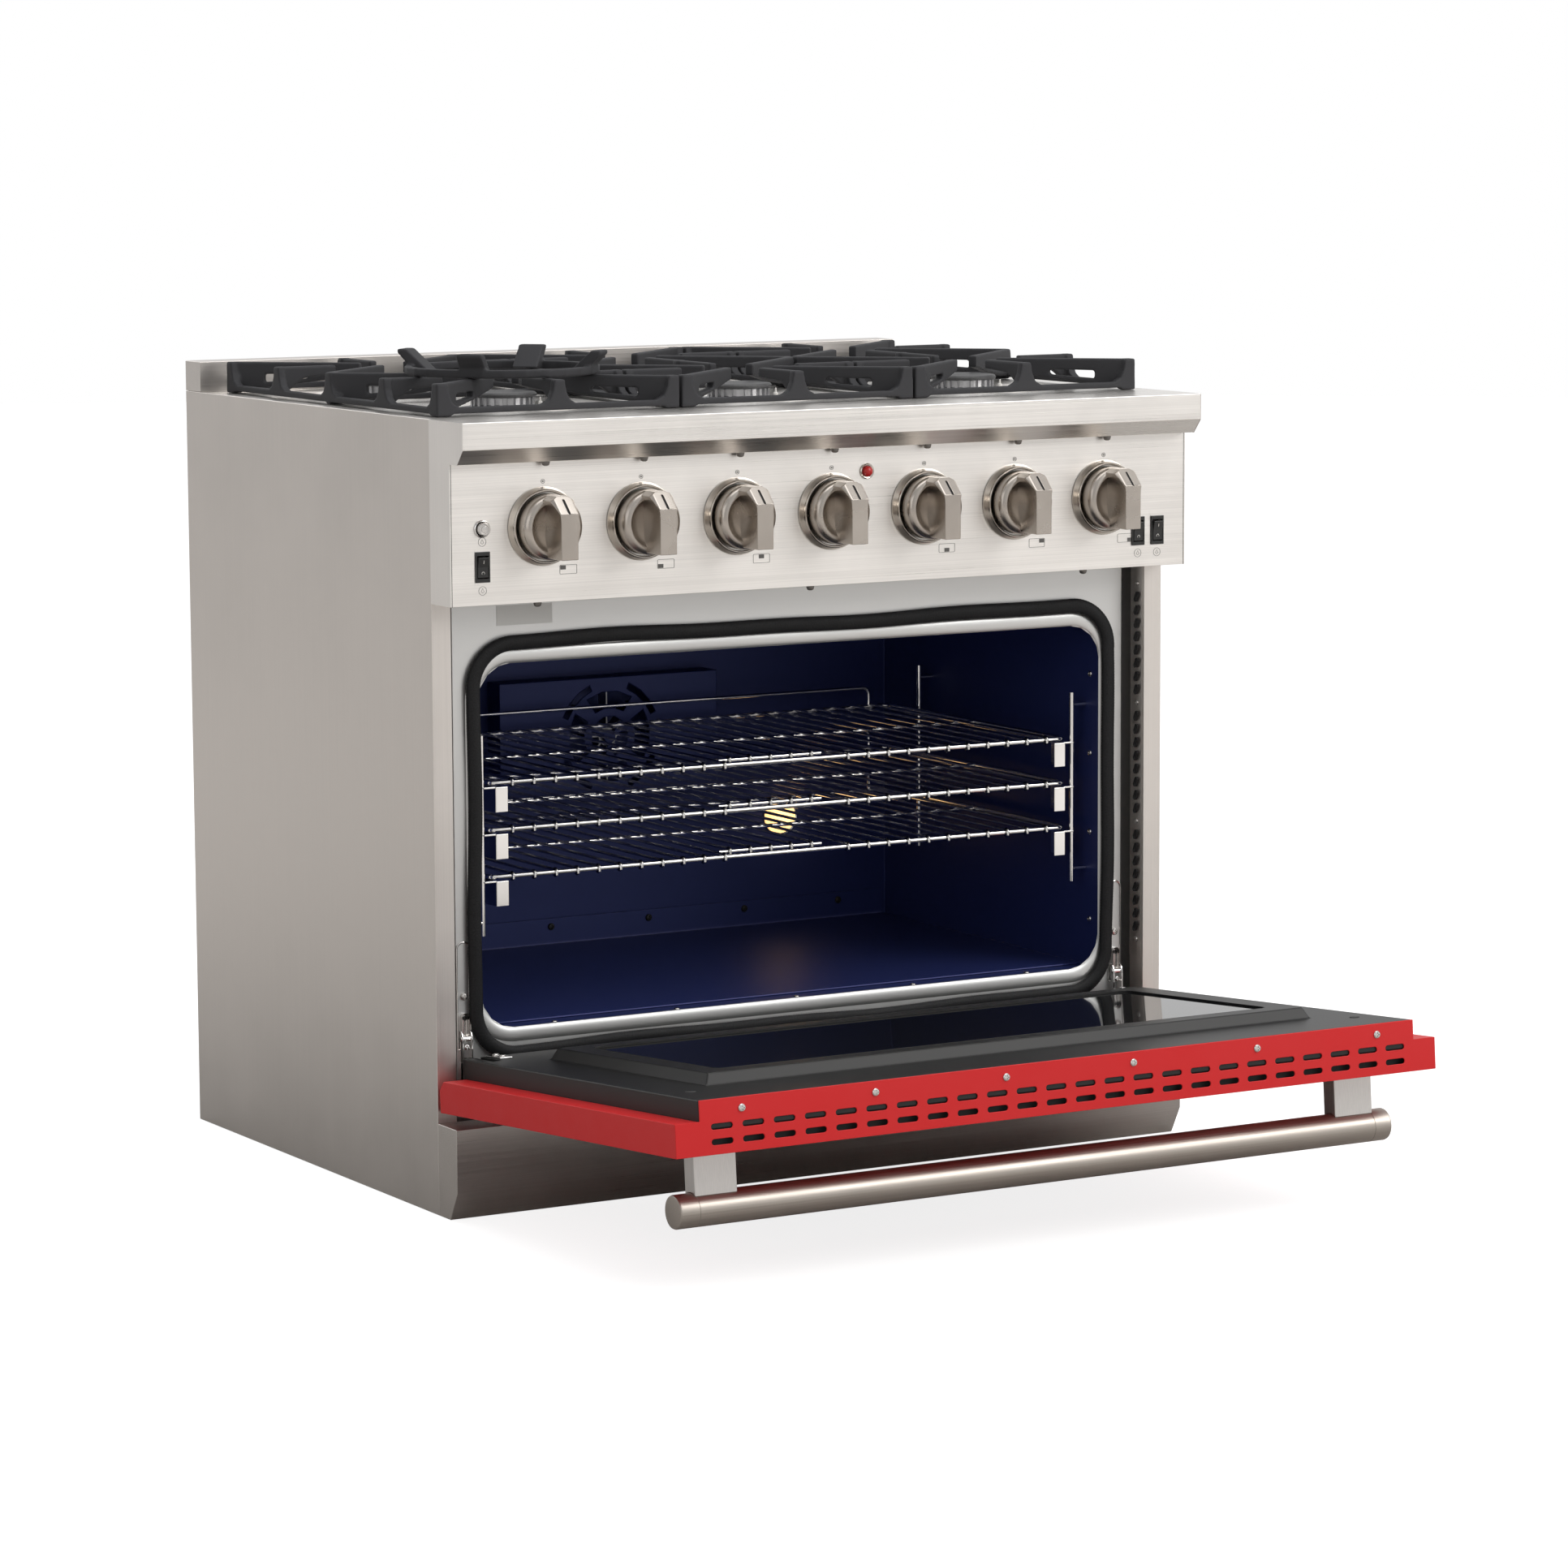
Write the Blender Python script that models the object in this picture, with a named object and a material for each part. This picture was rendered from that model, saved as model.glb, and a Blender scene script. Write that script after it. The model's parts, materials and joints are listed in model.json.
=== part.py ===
"""Freestanding gas range: six sealed burners over one convection oven with a drop-down door.

Metres, +Z up, -Y towards the cook. The origin is the middle of the cabinet's footprint, on the floor.
The door is modelled shut and then swung open about its hinge pin by one empty.
"""

import math

import bmesh
import bpy
from mathutils import Matrix, Vector

# Overall sizes
WIDTH = 0.914
DEPTH = 0.619
HEIGHT = 0.8398
SHEET = 0.0015
GAP = 0.0003
FIT = 0.0006
CUT = 0.02

# Cabinet front, as distances forward (-) or back (+) of the side panels' front flange
FLANGE = 0.0227
FLANGE_RETURN = 0.0265
CHANNEL = 0.0133
FRAME_SETBACK = 0.0255
FRAME_WING_DEPTH = 0.020
NOSE_REACH = 0.0773
NOSE_LIP = 0.0640
NOSE_FACE = 0.0282
NOSE_DROP = 0.0438
PANEL_REACH = 0.0459
PANEL_HEIGHT = 0.1480
KICK_REACH = 0.0435
KICK_FOOT = 0.0268
KICK_TOE = 0.0307
KICK_HEIGHT = 0.0985
BASE_HEIGHT = 0.025
TRIM_DEPTH = 0.0395
TRIM_HEIGHT = 0.0341

# Oven
OVEN_FLOOR = 0.187
OVEN_CEILING_DROP = 0.068
OPENING_MARGIN = 0.030
OPENING_RISE = 0.002
OPENING_SILL = 0.001
OPENING_CORNER = 0.040
CAVITY_CLEAR = 0.0015
SERVICE_SPACE = 0.124
GASKET_OFFSET = 0.0095
GASKET_RADIUS = 0.0088
GASKET_THICK = 0.0087
GASKET_CORNER = 0.050
GASKET_SINK = 0.0175
GASKET_LIFT = 0.014
HINGE_SLOT_WIDTH = 0.007

# Racks and their guides
RACK_INSET = 0.0275
RACK_FRONT = 0.0295
RACK_BACK_CLEAR = 0.055
RACK_FIRST = 0.159
RACK_PITCH = 0.0505
RACK_RAIL = 0.0056
RACK_WIRE = 0.0044
RACK_WIRE_PITCH = 0.052
RACK_EDGE_CLEAR = 0.016
RACK_SETBACK = 0.035
RACK_UPSTAND = 0.025
RACK_TRAVEL = 0.30
GUIDE_ROD = 0.0035
GUIDE_RUNNER = 0.014
GUIDE_RUNNER_THICK = 0.002
GUIDE_BELOW = 0.062
GUIDE_ABOVE = 0.052
TAB_WIDTH = 0.0186
TAB_HEIGHT = 0.027

# Fan, lamp and burner tube
FAN_HEIGHT = 0.244
BAFFLE_HALF = 0.143
BAFFLE_HALF_HEIGHT = 0.0695
BAFFLE_DEPTH = 0.033
BAFFLE_ARCS = [(0.008, 0.024, 3, 90, 90), (0.034, 0.053, 4, 90, 66), (0.059, 0.066, 4, 45, 44)]
FAN_RADIUS = 0.052
FAN_BLADES = 8
FAN_HUB = 0.012
MOTOR_RADIUS = 0.036
MOTOR_LENGTH = 0.050
SHAFT_RADIUS = 0.004
LAMP_ACROSS = 0.245
LAMP_HEIGHT = 0.129
LAMP_RADIUS = 0.022
TUBE_RADIUS = 0.011
TUBE_DROP = 0.080
TUBE_INSET = 0.100

# Door
DOOR_KICK_GAP = 0.0075
DOOR_PANEL_GAP = 0.0280
DOOR_DEPTH = 0.0546
DOOR_SIDE_STEP = 0.0209
DOOR_SEAL_GAP = 0.0011
DOOR_OPEN = 85.56
LINER_MARGIN = 0.0276
LINER_DEPTH = 0.030
SKIN_CHAMFER = 0.010
RIM_HEIGHT = 0.012
RIM_SLOPE = 0.006
RIM_MARGIN = 0.062
RIM_BELOW = 0.083
RIM_ABOVE = 0.097
WINDOW_MARGIN = 0.032
GLASS = 0.004
GLASS_LAP = 0.010
PIVOT_DEPTH = 0.0411
PIVOT_RISE = 0.0202
HINGE_INSET = 0.0087
HINGE_PLATE = 0.005
HINGE_NOTCH = 0.050
HINGE_EYE = 0.009
HINGE_CLAW = 0.030
HINGE_BEHIND = 0.012
HANDLE_RADIUS = 0.0172
HANDLE_LENGTH = 0.8611
HANDLE_REACH = 0.0612
HANDLE_BELOW_TOP = 0.0617
POST_WIDTH = 0.048
POST_DEPTH = 0.020
POST_INSET = 0.0445

# Cooktop
BURNER_DISH = 0.098
BURNER_DISH_DROP = 0.006
BURNER_HOLE = 0.024
BURNER_CAP = 0.036
BURNER_CAP_DROP = 0.018
BURNER_DEPTH = 0.034
GRATE_SIDE_CLEAR = 0.021
GRATE_FRONT_CLEAR = 0.022
GRATE_BACK_CLEAR = 0.026
GRATE_GAP = 0.003
GRATE_FOOT = 0.003
GRATE_RAIL = 0.0065
GRATE_HEIGHT = 0.032
GRATE_BAR = 0.009
DIAGONAL_REACH = 0.150
SIDE_REACH = 0.066
END_REACH = 0.076
WOK_RADIUS = 0.105
WOK_BAND = 0.008
WOK_THICK = 0.009
WOK_TURN = 45
WOK_RISE = 0.017
WOK_PRONG = 0.028

# Controls
KNOB_COUNT = 7
KNOB_EDGE = 0.1084
KNOB_DROP = 0.0685
KNOB_SKIRT = 0.0348
KNOB_SKIRT_REACH = 0.025
KNOB_REACH = 0.060
KNOB_GRIP_WIDTH = 0.020
KNOB_GRIP_HEIGHT = 0.062
KNOB_STANDOFF = 0.005
KNOB_BORE = 0.014
KNOB_SLOPE = 0.018
BEZEL_WIDTH = 0.0067
BEZEL_REACH = 0.010
BEZEL_CLEAR = 0.0015
STEM_RADIUS = 0.004
STEM_TRAVEL = 0.003
VALVE_RADIUS = 0.011
VALVE_SETBACK = 0.022
VALVE_BORE = 0.012
MANIFOLD_RADIUS = 0.0085
MANIFOLD_SETBACK = 0.006
MANIFOLD_CLEAR = 0.012
MANIFOLD_HOLE_CLEAR = 0.003
INLET_REACH = 0.020
INLET_RADIUS = 0.0125
INLET_BORE = 0.005
INLET_NUT = 0.014
SWITCH_WIDTH = 0.012
SWITCH_HEIGHT = 0.022
SWITCH_DEPTH = 0.012
SWITCH_CLEAR = 0.0012
SWITCH_EDGE = 0.037
SWITCH_PAIR_PITCH = 0.0255
SWITCH_DROP = 0.108
SWITCH_TILT = 8.0
BUTTON_RADIUS = 0.0075
BUTTON_DROP = 0.0683
BUTTON_PROUD = 0.006
BUTTON_BEHIND = 0.012
LAMP_LENS_RADIUS = 0.0085
LAMP_LENS_NECK = 0.0065
LAMP_LENS_DROP = 0.0273
LAMP_LENS_ACROSS = 0.0438

# Places worked out from the sizes
HALF = WIDTH / 2
FRONT = -DEPTH / 2
BACK = DEPTH / 2
INSIDE = HALF - SHEET - GAP
PANEL_TOP = HEIGHT - NOSE_DROP
PANEL_BOTTOM = PANEL_TOP - PANEL_HEIGHT
PANEL_FACE = FRONT - PANEL_REACH
FRAME_HALF = HALF - FLANGE - CHANNEL
FRAME_FACE = FRONT + FRAME_SETBACK
FRAME_TOP = PANEL_BOTTOM + 0.017
OPENING_HALF = FRAME_HALF - OPENING_MARGIN
CEILING = PANEL_BOTTOM - OVEN_CEILING_DROP
OPENING_TOP = CEILING - OPENING_RISE
OPENING_BOTTOM = OVEN_FLOOR + OPENING_SILL
CAVITY_HALF = OPENING_HALF + CAVITY_CLEAR
CAVITY_FRONT = FRAME_FACE + SHEET + GAP
CAVITY_BACK = BACK - SERVICE_SPACE
RACK_HALF = CAVITY_HALF - RACK_INSET
RACK_FRONT_Y = FRAME_FACE + RACK_FRONT
RACK_BACK_Y = CAVITY_BACK - RACK_BACK_CLEAR
RACK_HEIGHTS = [OVEN_FLOOR + RACK_FIRST + k * RACK_PITCH for k in range(3)]
FAN_Z = OVEN_FLOOR + FAN_HEIGHT
DOOR_BOTTOM = KICK_HEIGHT + DOOR_KICK_GAP
DOOR_TOP = PANEL_BOTTOM - DOOR_PANEL_GAP
GASKET_FACE = FRAME_FACE - GAP - GASKET_THICK
DOOR_INNER = GASKET_FACE - DOOR_SEAL_GAP
DOOR_OUTER = DOOR_INNER - DOOR_DEPTH
LINER_HALF = HALF - LINER_MARGIN
PIVOT = Vector((0, DOOR_INNER - PIVOT_DEPTH, DOOR_BOTTOM + PIVOT_RISE))
HINGE_X = FRAME_HALF - HINGE_INSET
KNOB_Z = PANEL_TOP - KNOB_DROP
KNOB_PITCH = (WIDTH - 2 * KNOB_EDGE) / (KNOB_COUNT - 1)
KNOB_XS = [(k - (KNOB_COUNT - 1) / 2) * KNOB_PITCH for k in range(KNOB_COUNT)]
MANIFOLD_X = HALF - FLANGE - MANIFOLD_CLEAR
MANIFOLD_Y = FRONT + MANIFOLD_SETBACK
MANIFOLD_Z = KNOB_Z
SWITCH_XS = {
    "left": -HALF + SWITCH_EDGE,
    "middle": HALF - SWITCH_EDGE - SWITCH_PAIR_PITCH,
    "right": HALF - SWITCH_EDGE,
}
SWITCH_Z = PANEL_TOP - SWITCH_DROP
GRATE_WIDTH = (WIDTH - 2 * GRATE_SIDE_CLEAR - 2 * GRATE_GAP) / 3
GRATE_FRONT = FRONT + GRATE_FRONT_CLEAR
GRATE_BACK = BACK - TRIM_DEPTH - GRATE_BACK_CLEAR
GRATE_LENGTH = GRATE_BACK - GRATE_FRONT
GRATE_BASE = HEIGHT + GRATE_FOOT
GRATE_TOP = GRATE_BASE + GRATE_HEIGHT
GRATE_XS = {side: k * (GRATE_WIDTH + GRATE_GAP) for side, k in (("left", -1), ("centre", 0), ("right", 1))}
BURNER_YS = {"front": GRATE_FRONT + GRATE_LENGTH / 4, "rear": GRATE_BACK - GRATE_LENGTH / 4}

COLOURS = {
    "brushed_steel": ((0.60, 0.58, 0.55), 0.32, 1.0),
    "plain_steel": ((0.66, 0.66, 0.66), 0.25, 1.0),
    "chrome": ((0.82, 0.82, 0.82), 0.12, 1.0),
    "cast_iron": ((0.055, 0.057, 0.062), 0.55, 0.2),
    "red_paint": ((0.60, 0.030, 0.030), 0.35, 0.0),
    "black_enamel": ((0.015, 0.015, 0.016), 0.22, 0.0),
    "blue_enamel": ((0.012, 0.014, 0.075), 0.15, 0.0),
    "black_plastic": ((0.02, 0.02, 0.02), 0.40, 0.0),
    "gasket_braid": ((0.02, 0.02, 0.02), 0.85, 0.0),
    "glass": ((0.05, 0.05, 0.055), 0.05, 0.0),
    "red_lens": ((0.45, 0.01, 0.01), 0.15, 0.0),
    "lamp_glass": ((0.95, 0.80, 0.55), 0.10, 0.0),
    "brass": ((0.72, 0.52, 0.22), 0.35, 1.0),
    "galvanised": ((0.55, 0.56, 0.57), 0.45, 1.0),
    "aluminium": ((0.70, 0.70, 0.70), 0.45, 1.0),
}


# Shapes: each returns a closed mesh with its faces pointing out

def finish(bm):
    """Turns a bmesh into a mesh whose faces point outwards."""
    bmesh.ops.recalc_face_normals(bm, faces=bm.faces)
    mesh = bpy.data.meshes.new("shape")
    bm.to_mesh(mesh)
    bm.free()
    return mesh


def prism(axis, outline, low, high):
    """An outline of (y, z), (x, z) or (x, y) points, extruded along X, Y or Z from low to high."""
    place = {
        "X": lambda a, b, c: (c, a, b),
        "Y": lambda a, b, c: (a, c, b),
        "Z": lambda a, b, c: (a, b, c),
    }[axis]
    bm = bmesh.new()
    start = [bm.verts.new(place(a, b, low)) for a, b in outline]
    end = [bm.verts.new(place(a, b, high)) for a, b in outline]
    bm.faces.new(start)
    bm.faces.new(list(reversed(end)))
    count = len(outline)
    for k in range(count):
        after = (k + 1) % count
        bm.faces.new((start[k], end[k], end[after], start[after]))
    return finish(bm)


def box(x0, x1, y0, y1, z0, z1):
    """A rectangular block between two corners."""
    return prism("Z", [(x0, y0), (x1, y0), (x1, y1), (x0, y1)], z0, z1)


def turned(profile, sides, centre, axis="Z"):
    """A profile of (radius, height) points turned about an axis; a radius of 0 closes it with a point."""
    bm = bmesh.new()
    rings = []
    for radius, height in profile:
        ring = []
        for k in range(sides if radius > 0 else 1):
            angle = 2 * math.pi * k / sides
            a, b = radius * math.cos(angle), radius * math.sin(angle)
            spot = {"X": (height, a, b), "Y": (a, height, b), "Z": (a, b, height)}[axis]
            ring.append(bm.verts.new(Vector(spot) + Vector(centre)))
        rings.append(ring)
    pairs = list(zip(rings, rings[1:]))
    if profile[0][0] > 0:
        pairs.append((rings[-1], rings[0]))
    for one, other in pairs:
        for k in range(sides):
            after = (k + 1) % sides
            corners = [one[k % len(one)], one[after % len(one)]]
            corners += [other[after % len(other)], other[k % len(other)]]
            corners = list(dict.fromkeys(corners))
            bm.faces.new(corners)
    return finish(bm)


def rod(path, radius, sides, normal, loop=False):
    """A round rod along a flat path; normal is square to the path's plane."""
    normal = Vector(normal).normalized()
    points = [Vector(p) for p in path]
    count = len(points)
    bm = bmesh.new()
    rings = []
    for k, point in enumerate(points):
        before = points[k - 1] if k or loop else None
        after = points[(k + 1) % count] if k < count - 1 or loop else None
        into = (point - before).normalized() if before is not None else None
        out = (after - point).normalized() if after is not None else None
        along = ((into or out) + (out or into)).normalized()
        stretch = 1 / max(0.3, along.dot(into or out))
        across = along.cross(normal) * stretch
        turn = math.pi / sides
        angles = [2 * math.pi * j / sides + turn for j in range(sides)]
        spots = [point + (across * math.cos(a) + normal * math.sin(a)) * radius for a in angles]
        rings.append([bm.verts.new(spot) for spot in spots])
    pairs = list(zip(rings, rings[1:]))
    if loop:
        pairs.append((rings[-1], rings[0]))
    for one, other in pairs:
        for j in range(sides):
            after = (j + 1) % sides
            bm.faces.new((one[j], one[after], other[after], other[j]))
    if not loop:
        bm.faces.new(list(reversed(rings[0])))
        bm.faces.new(rings[-1])
    return finish(bm)


def disc(radius, low, high, sides, centre, axis="Z"):
    """A solid cylinder between two heights along its axis."""
    return turned([(0, low), (radius, low), (radius, high), (0, high)], sides, centre, axis)


def arc(centre, radius, start, end, steps):
    """Points along an arc, with angles in degrees."""
    angles = [math.radians(start + (end - start) * k / steps) for k in range(steps + 1)]
    return [(centre[0] + radius * math.cos(a), centre[1] + radius * math.sin(a)) for a in angles]


def rounded(x0, x1, z0, z1, radius, steps):
    """A rectangle's outline with round corners."""
    points = arc((x1 - radius, z1 - radius), radius, 0, 90, steps)
    points += arc((x0 + radius, z1 - radius), radius, 90, 180, steps)
    points += arc((x0 + radius, z0 + radius), radius, 180, 270, steps)
    points += arc((x1 - radius, z0 + radius), radius, 270, 360, steps)
    return points


def joined(meshes):
    """Several shapes' meshes in one mesh, still separate bodies."""
    bm = bmesh.new()
    for mesh in meshes:
        bm.from_mesh(mesh)
        bpy.data.meshes.remove(mesh)
    whole = bpy.data.meshes.new("joined")
    bm.to_mesh(whole)
    bm.free()
    return whole


def combined(base, tools, operation):
    """base with all the tools joined to it or cut from it by one exact Boolean."""
    target = bpy.data.objects.new("target", base)
    tool = bpy.data.objects.new("tool", joined(tools))
    for helper in (target, tool):
        bpy.context.scene.collection.objects.link(helper)
    modifier = target.modifiers.new("combine", "BOOLEAN")
    modifier.object = tool
    modifier.operation = operation
    modifier.solver = "EXACT"
    modifier.use_self = len(tools) > 1
    graph = bpy.context.evaluated_depsgraph_get()
    result = bpy.data.meshes.new_from_object(target.evaluated_get(graph))
    for helper in (target, tool):
        mesh = helper.data
        bpy.data.objects.remove(helper)
        bpy.data.meshes.remove(mesh)
    return result


def fused(*shapes):
    """The union of overlapping shapes."""
    return combined(shapes[0], list(shapes[1:]), "UNION")


def cut(base, *cutters):
    """base with the cutters taken away."""
    return combined(base, list(cutters), "DIFFERENCE")


def node(name, mesh, colour, origin=(0, 0, 0), parent=None):
    """Adds a finished piece; its origin lies on its joint's axis where it moves."""
    origin = Vector(origin)
    mesh.transform(Matrix.Translation(-origin))
    mesh.name = name
    piece = bpy.data.objects.new(name, mesh)
    bpy.context.scene.collection.objects.link(piece)
    if parent:
        piece.parent = parent
    else:
        piece.location = origin
    mesh.materials.clear()
    mesh.materials.append(bpy.data.materials[colour])
    mesh.shade_smooth()
    mesh.set_sharp_from_angle(angle=math.radians(30))
    return piece


def make_materials():
    """One Principled material for each finish."""
    for name, (colour, roughness, metallic) in COLOURS.items():
        material = bpy.data.materials.new(name)
        material.use_nodes = True
        shader = material.node_tree.nodes["Principled BSDF"]
        shader.inputs["Base Color"].default_value = (*colour, 1)
        shader.inputs["Roughness"].default_value = roughness
        shader.inputs["Metallic"].default_value = metallic


def clear_scene():
    """Removes whatever the scene holds."""
    for thing in list(bpy.data.objects):
        bpy.data.objects.remove(thing)


# Cabinet

def make_base_pan():
    """Open tray on the floor, between the side panels."""
    y0, y1 = FRONT + FLANGE_RETURN + GAP, BACK - SHEET - GAP
    tray = box(-INSIDE, INSIDE, y0, y1, 0, BASE_HEIGHT)
    hollow = box(SHEET - INSIDE, INSIDE - SHEET, y0 + SHEET, y1 - SHEET, SHEET, BASE_HEIGHT + CUT)
    node("base_pan", cut(tray, hollow), "galvanised")


def make_side_panel(name, side):
    """Side sheet with a flange folded in at the front and a return, both stopping under the cooktop."""
    inner = HALF - FLANGE
    outline = [
        (HALF, FRONT), (inner, FRONT), (inner, FRONT + FLANGE_RETURN),
        (inner + SHEET, FRONT + FLANGE_RETURN), (inner + SHEET, FRONT + SHEET),
        (HALF - SHEET, FRONT + SHEET), (HALF - SHEET, BACK), (HALF, BACK),
    ]
    panel = prism("Z", [(side * x, y) for x, y in outline], 0, HEIGHT)
    x0, x1 = sorted((side * (inner - CUT), side * (HALF - SHEET)))
    ledge = box(x0, x1, FRONT - CUT, FRONT + FLANGE_RETURN + CUT, HEIGHT - SHEET - GAP, HEIGHT + CUT)
    node(name, cut(panel, ledge), "brushed_steel")


def make_back_panel():
    """Rear sheet with a hole for the gas pipe."""
    sheet = box(-INSIDE, INSIDE, BACK - SHEET, BACK, 0, HEIGHT - SHEET - GAP)
    hole = disc(MANIFOLD_RADIUS + MANIFOLD_HOLE_CLEAR, -CUT, CUT, 16, (MANIFOLD_X, BACK, MANIFOLD_Z), "Y")
    node("back_panel", cut(sheet, hole), "galvanised")


def make_rear_trim():
    """Raised hollow strip along the back of the cooktop."""
    y0 = BACK - TRIM_DEPTH
    z0, z1 = HEIGHT + GAP, HEIGHT + TRIM_HEIGHT
    strip = box(-HALF, HALF, y0, BACK, z0, z1)
    hollow = box(SHEET - HALF, HALF - SHEET, y0 + SHEET, BACK - SHEET, z0 - CUT, z1 - SHEET)
    node("rear_trim", cut(strip, hollow), "brushed_steel")


def burner_spots():
    """Name and (x, y) of each burner, left to right and front to rear."""
    return [(f"{side}_{row}", x, y) for side, x in GRATE_XS.items() for row, y in BURNER_YS.items()]


def make_cooktop():
    """Top sheet folded down into the front nosing, with a pressed dish round each burner."""
    nose = FRONT - NOSE_REACH
    edge = FRONT - GAP
    plan = [(-HALF, nose), (HALF, nose), (HALF, edge), (INSIDE, edge), (INSIDE, BACK),
            (-INSIDE, BACK), (-INSIDE, edge), (-HALF, edge)]
    face = HEIGHT - NOSE_FACE
    profile = [(nose, HEIGHT), (nose, face), (FRONT - NOSE_LIP, PANEL_TOP), (edge, PANEL_TOP), (edge, HEIGHT)]
    inner = [(nose + SHEET, HEIGHT - SHEET), (nose + SHEET, face + SHEET / 2),
             (FRONT - NOSE_LIP + SHEET / 2, PANEL_TOP + SHEET), (FRONT + CUT, PANEL_TOP + SHEET),
             (FRONT + CUT, HEIGHT - SHEET)]
    nosing = cut(prism("X", profile, -HALF, HALF), prism("X", inner, SHEET - HALF, HALF - SHEET))
    top = fused(prism("Z", plan, HEIGHT - SHEET, HEIGHT), nosing)
    rim = BURNER_DISH - 0.002
    holes = [disc(rim, -CUT, CUT, 16, (x, y, HEIGHT)) for _, x, y in burner_spots()]
    top = cut(top, *holes)
    floor = -BURNER_DISH_DROP
    upper = [(BURNER_HOLE, floor), (rim - 0.012, floor), (rim - 0.002, 0), (BURNER_DISH, 0)]
    lower = [(BURNER_DISH, -SHEET), (rim - 0.001, -SHEET)]
    lower += [(rim - 0.011, floor - SHEET), (BURNER_HOLE, floor - SHEET)]
    ring = upper + lower
    dishes = [turned(ring, 16, (x, y, HEIGHT)) for _, x, y in burner_spots()]
    node("cooktop", fused(top, *dishes), "brushed_steel")


def make_control_panel():
    """Panel box open to the back and top, with knob bezels and openings for the controls."""
    top = PANEL_TOP - GAP
    shell = box(-HALF, HALF, PANEL_FACE, FRONT - GAP, PANEL_BOTTOM, top)
    hollow = box(SHEET - HALF, HALF - SHEET, PANEL_FACE + SHEET, FRONT + CUT, PANEL_BOTTOM + SHEET, top + CUT)
    shell = cut(shell, hollow)
    inner, outer = KNOB_SKIRT + BEZEL_CLEAR, KNOB_SKIRT + BEZEL_WIDTH
    ring = [(inner, -BEZEL_REACH), (outer - 0.002, -BEZEL_REACH)]
    ring += [(outer, SHEET / 2), (inner, SHEET / 2)]
    shell = fused(shell, *[turned(ring, 16, (x, PANEL_FACE, KNOB_Z), "Y") for x in KNOB_XS])
    holes = [drill(STEM_RADIUS + FIT, x, KNOB_Z) for x in KNOB_XS]
    holes.append(drill(BUTTON_RADIUS + FIT, SWITCH_XS["left"], PANEL_TOP - BUTTON_DROP))
    holes.append(drill(LAMP_LENS_NECK + FIT, LAMP_LENS_ACROSS, PANEL_TOP - LAMP_LENS_DROP))
    wide, tall = SWITCH_WIDTH / 2 + SWITCH_CLEAR, SWITCH_HEIGHT / 2 + SWITCH_CLEAR
    for x in SWITCH_XS.values():
        y0, y1 = PANEL_FACE - CUT, PANEL_FACE + CUT
        holes.append(box(x - wide, x + wide, y0, y1, SWITCH_Z - tall, SWITCH_Z + tall))
    node("control_panel", cut(shell, *holes), "brushed_steel")


def drill(radius, x, z):
    """A cutter for a round hole through the control panel's face."""
    return disc(radius, -CUT, CUT, 12, (x, PANEL_FACE, z), "Y")


def make_kick_panel():
    """Toe panel box with a sloping lower face, open to the back."""
    face, foot, back = FRONT - KICK_REACH, FRONT - KICK_FOOT, FRONT - GAP
    outline = [(face, KICK_HEIGHT), (face, KICK_TOE), (foot, 0), (back, 0), (back, KICK_HEIGHT)]
    inner = [(face + SHEET, KICK_HEIGHT - SHEET), (face + SHEET, KICK_TOE + SHEET / 2),
             (foot + SHEET / 2, SHEET), (FRONT + CUT, SHEET), (FRONT + CUT, KICK_HEIGHT - SHEET)]
    shell = cut(prism("X", outline, -HALF, HALF), prism("X", inner, SHEET - HALF, HALF - SHEET))
    node("kick_panel", shell, "brushed_steel")


def make_face_frame():
    """Frame round the oven's mouth, set back between the flanges, with a slot for each hinge arm."""
    deep = FRAME_FACE + FRAME_WING_DEPTH
    right = [(FRAME_HALF, FRAME_FACE), (FRAME_HALF, deep), (INSIDE, deep), (INSIDE, deep + SHEET),
             (FRAME_HALF - SHEET, deep + SHEET), (FRAME_HALF - SHEET, FRAME_FACE + SHEET)]
    outline = right + [(-x, y) for x, y in reversed(right)]
    plate = prism("Z", outline, BASE_HEIGHT + GAP, FRAME_TOP)
    mouth = rounded(-OPENING_HALF, OPENING_HALF, OPENING_BOTTOM, OPENING_TOP, OPENING_CORNER, 4)
    cutters = [prism("Y", mouth, FRAME_FACE - CUT, FRAME_FACE + FRAME_WING_DEPTH + CUT)]
    slot = HINGE_SLOT_WIDTH / 2
    for side in (-1, 1):
        x = side * HINGE_X
        low, high = PIVOT.z - HINGE_EYE - 0.001, PIVOT.z + HINGE_CLAW + 0.004
        cutters.append(box(x - slot, x + slot, FRAME_FACE - CUT, FRAME_FACE + CUT, low, high))
    node("face_frame", cut(plate, *cutters), "plain_steel")


def make_gasket():
    """Braided seal lying round the oven's mouth."""
    half = OPENING_HALF + GASKET_OFFSET
    low, high = OPENING_BOTTOM - GASKET_OFFSET - GASKET_SINK, OPENING_TOP + GASKET_OFFSET + GASKET_LIFT
    outline = rounded(-half, half, low, high, GASKET_CORNER, 4)
    loop = rod([(x, 0, z) for x, z in outline], GASKET_RADIUS, 6, (0, 1, 0), loop=True)
    squash = GASKET_THICK / (2 * GASKET_RADIUS)
    middle = Matrix.Translation((0, GASKET_FACE + GASKET_THICK / 2, 0))
    loop.transform(middle @ Matrix.Diagonal((1, squash, 1, 1)))
    node("door_gasket", loop, "gasket_braid")


# Oven

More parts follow.
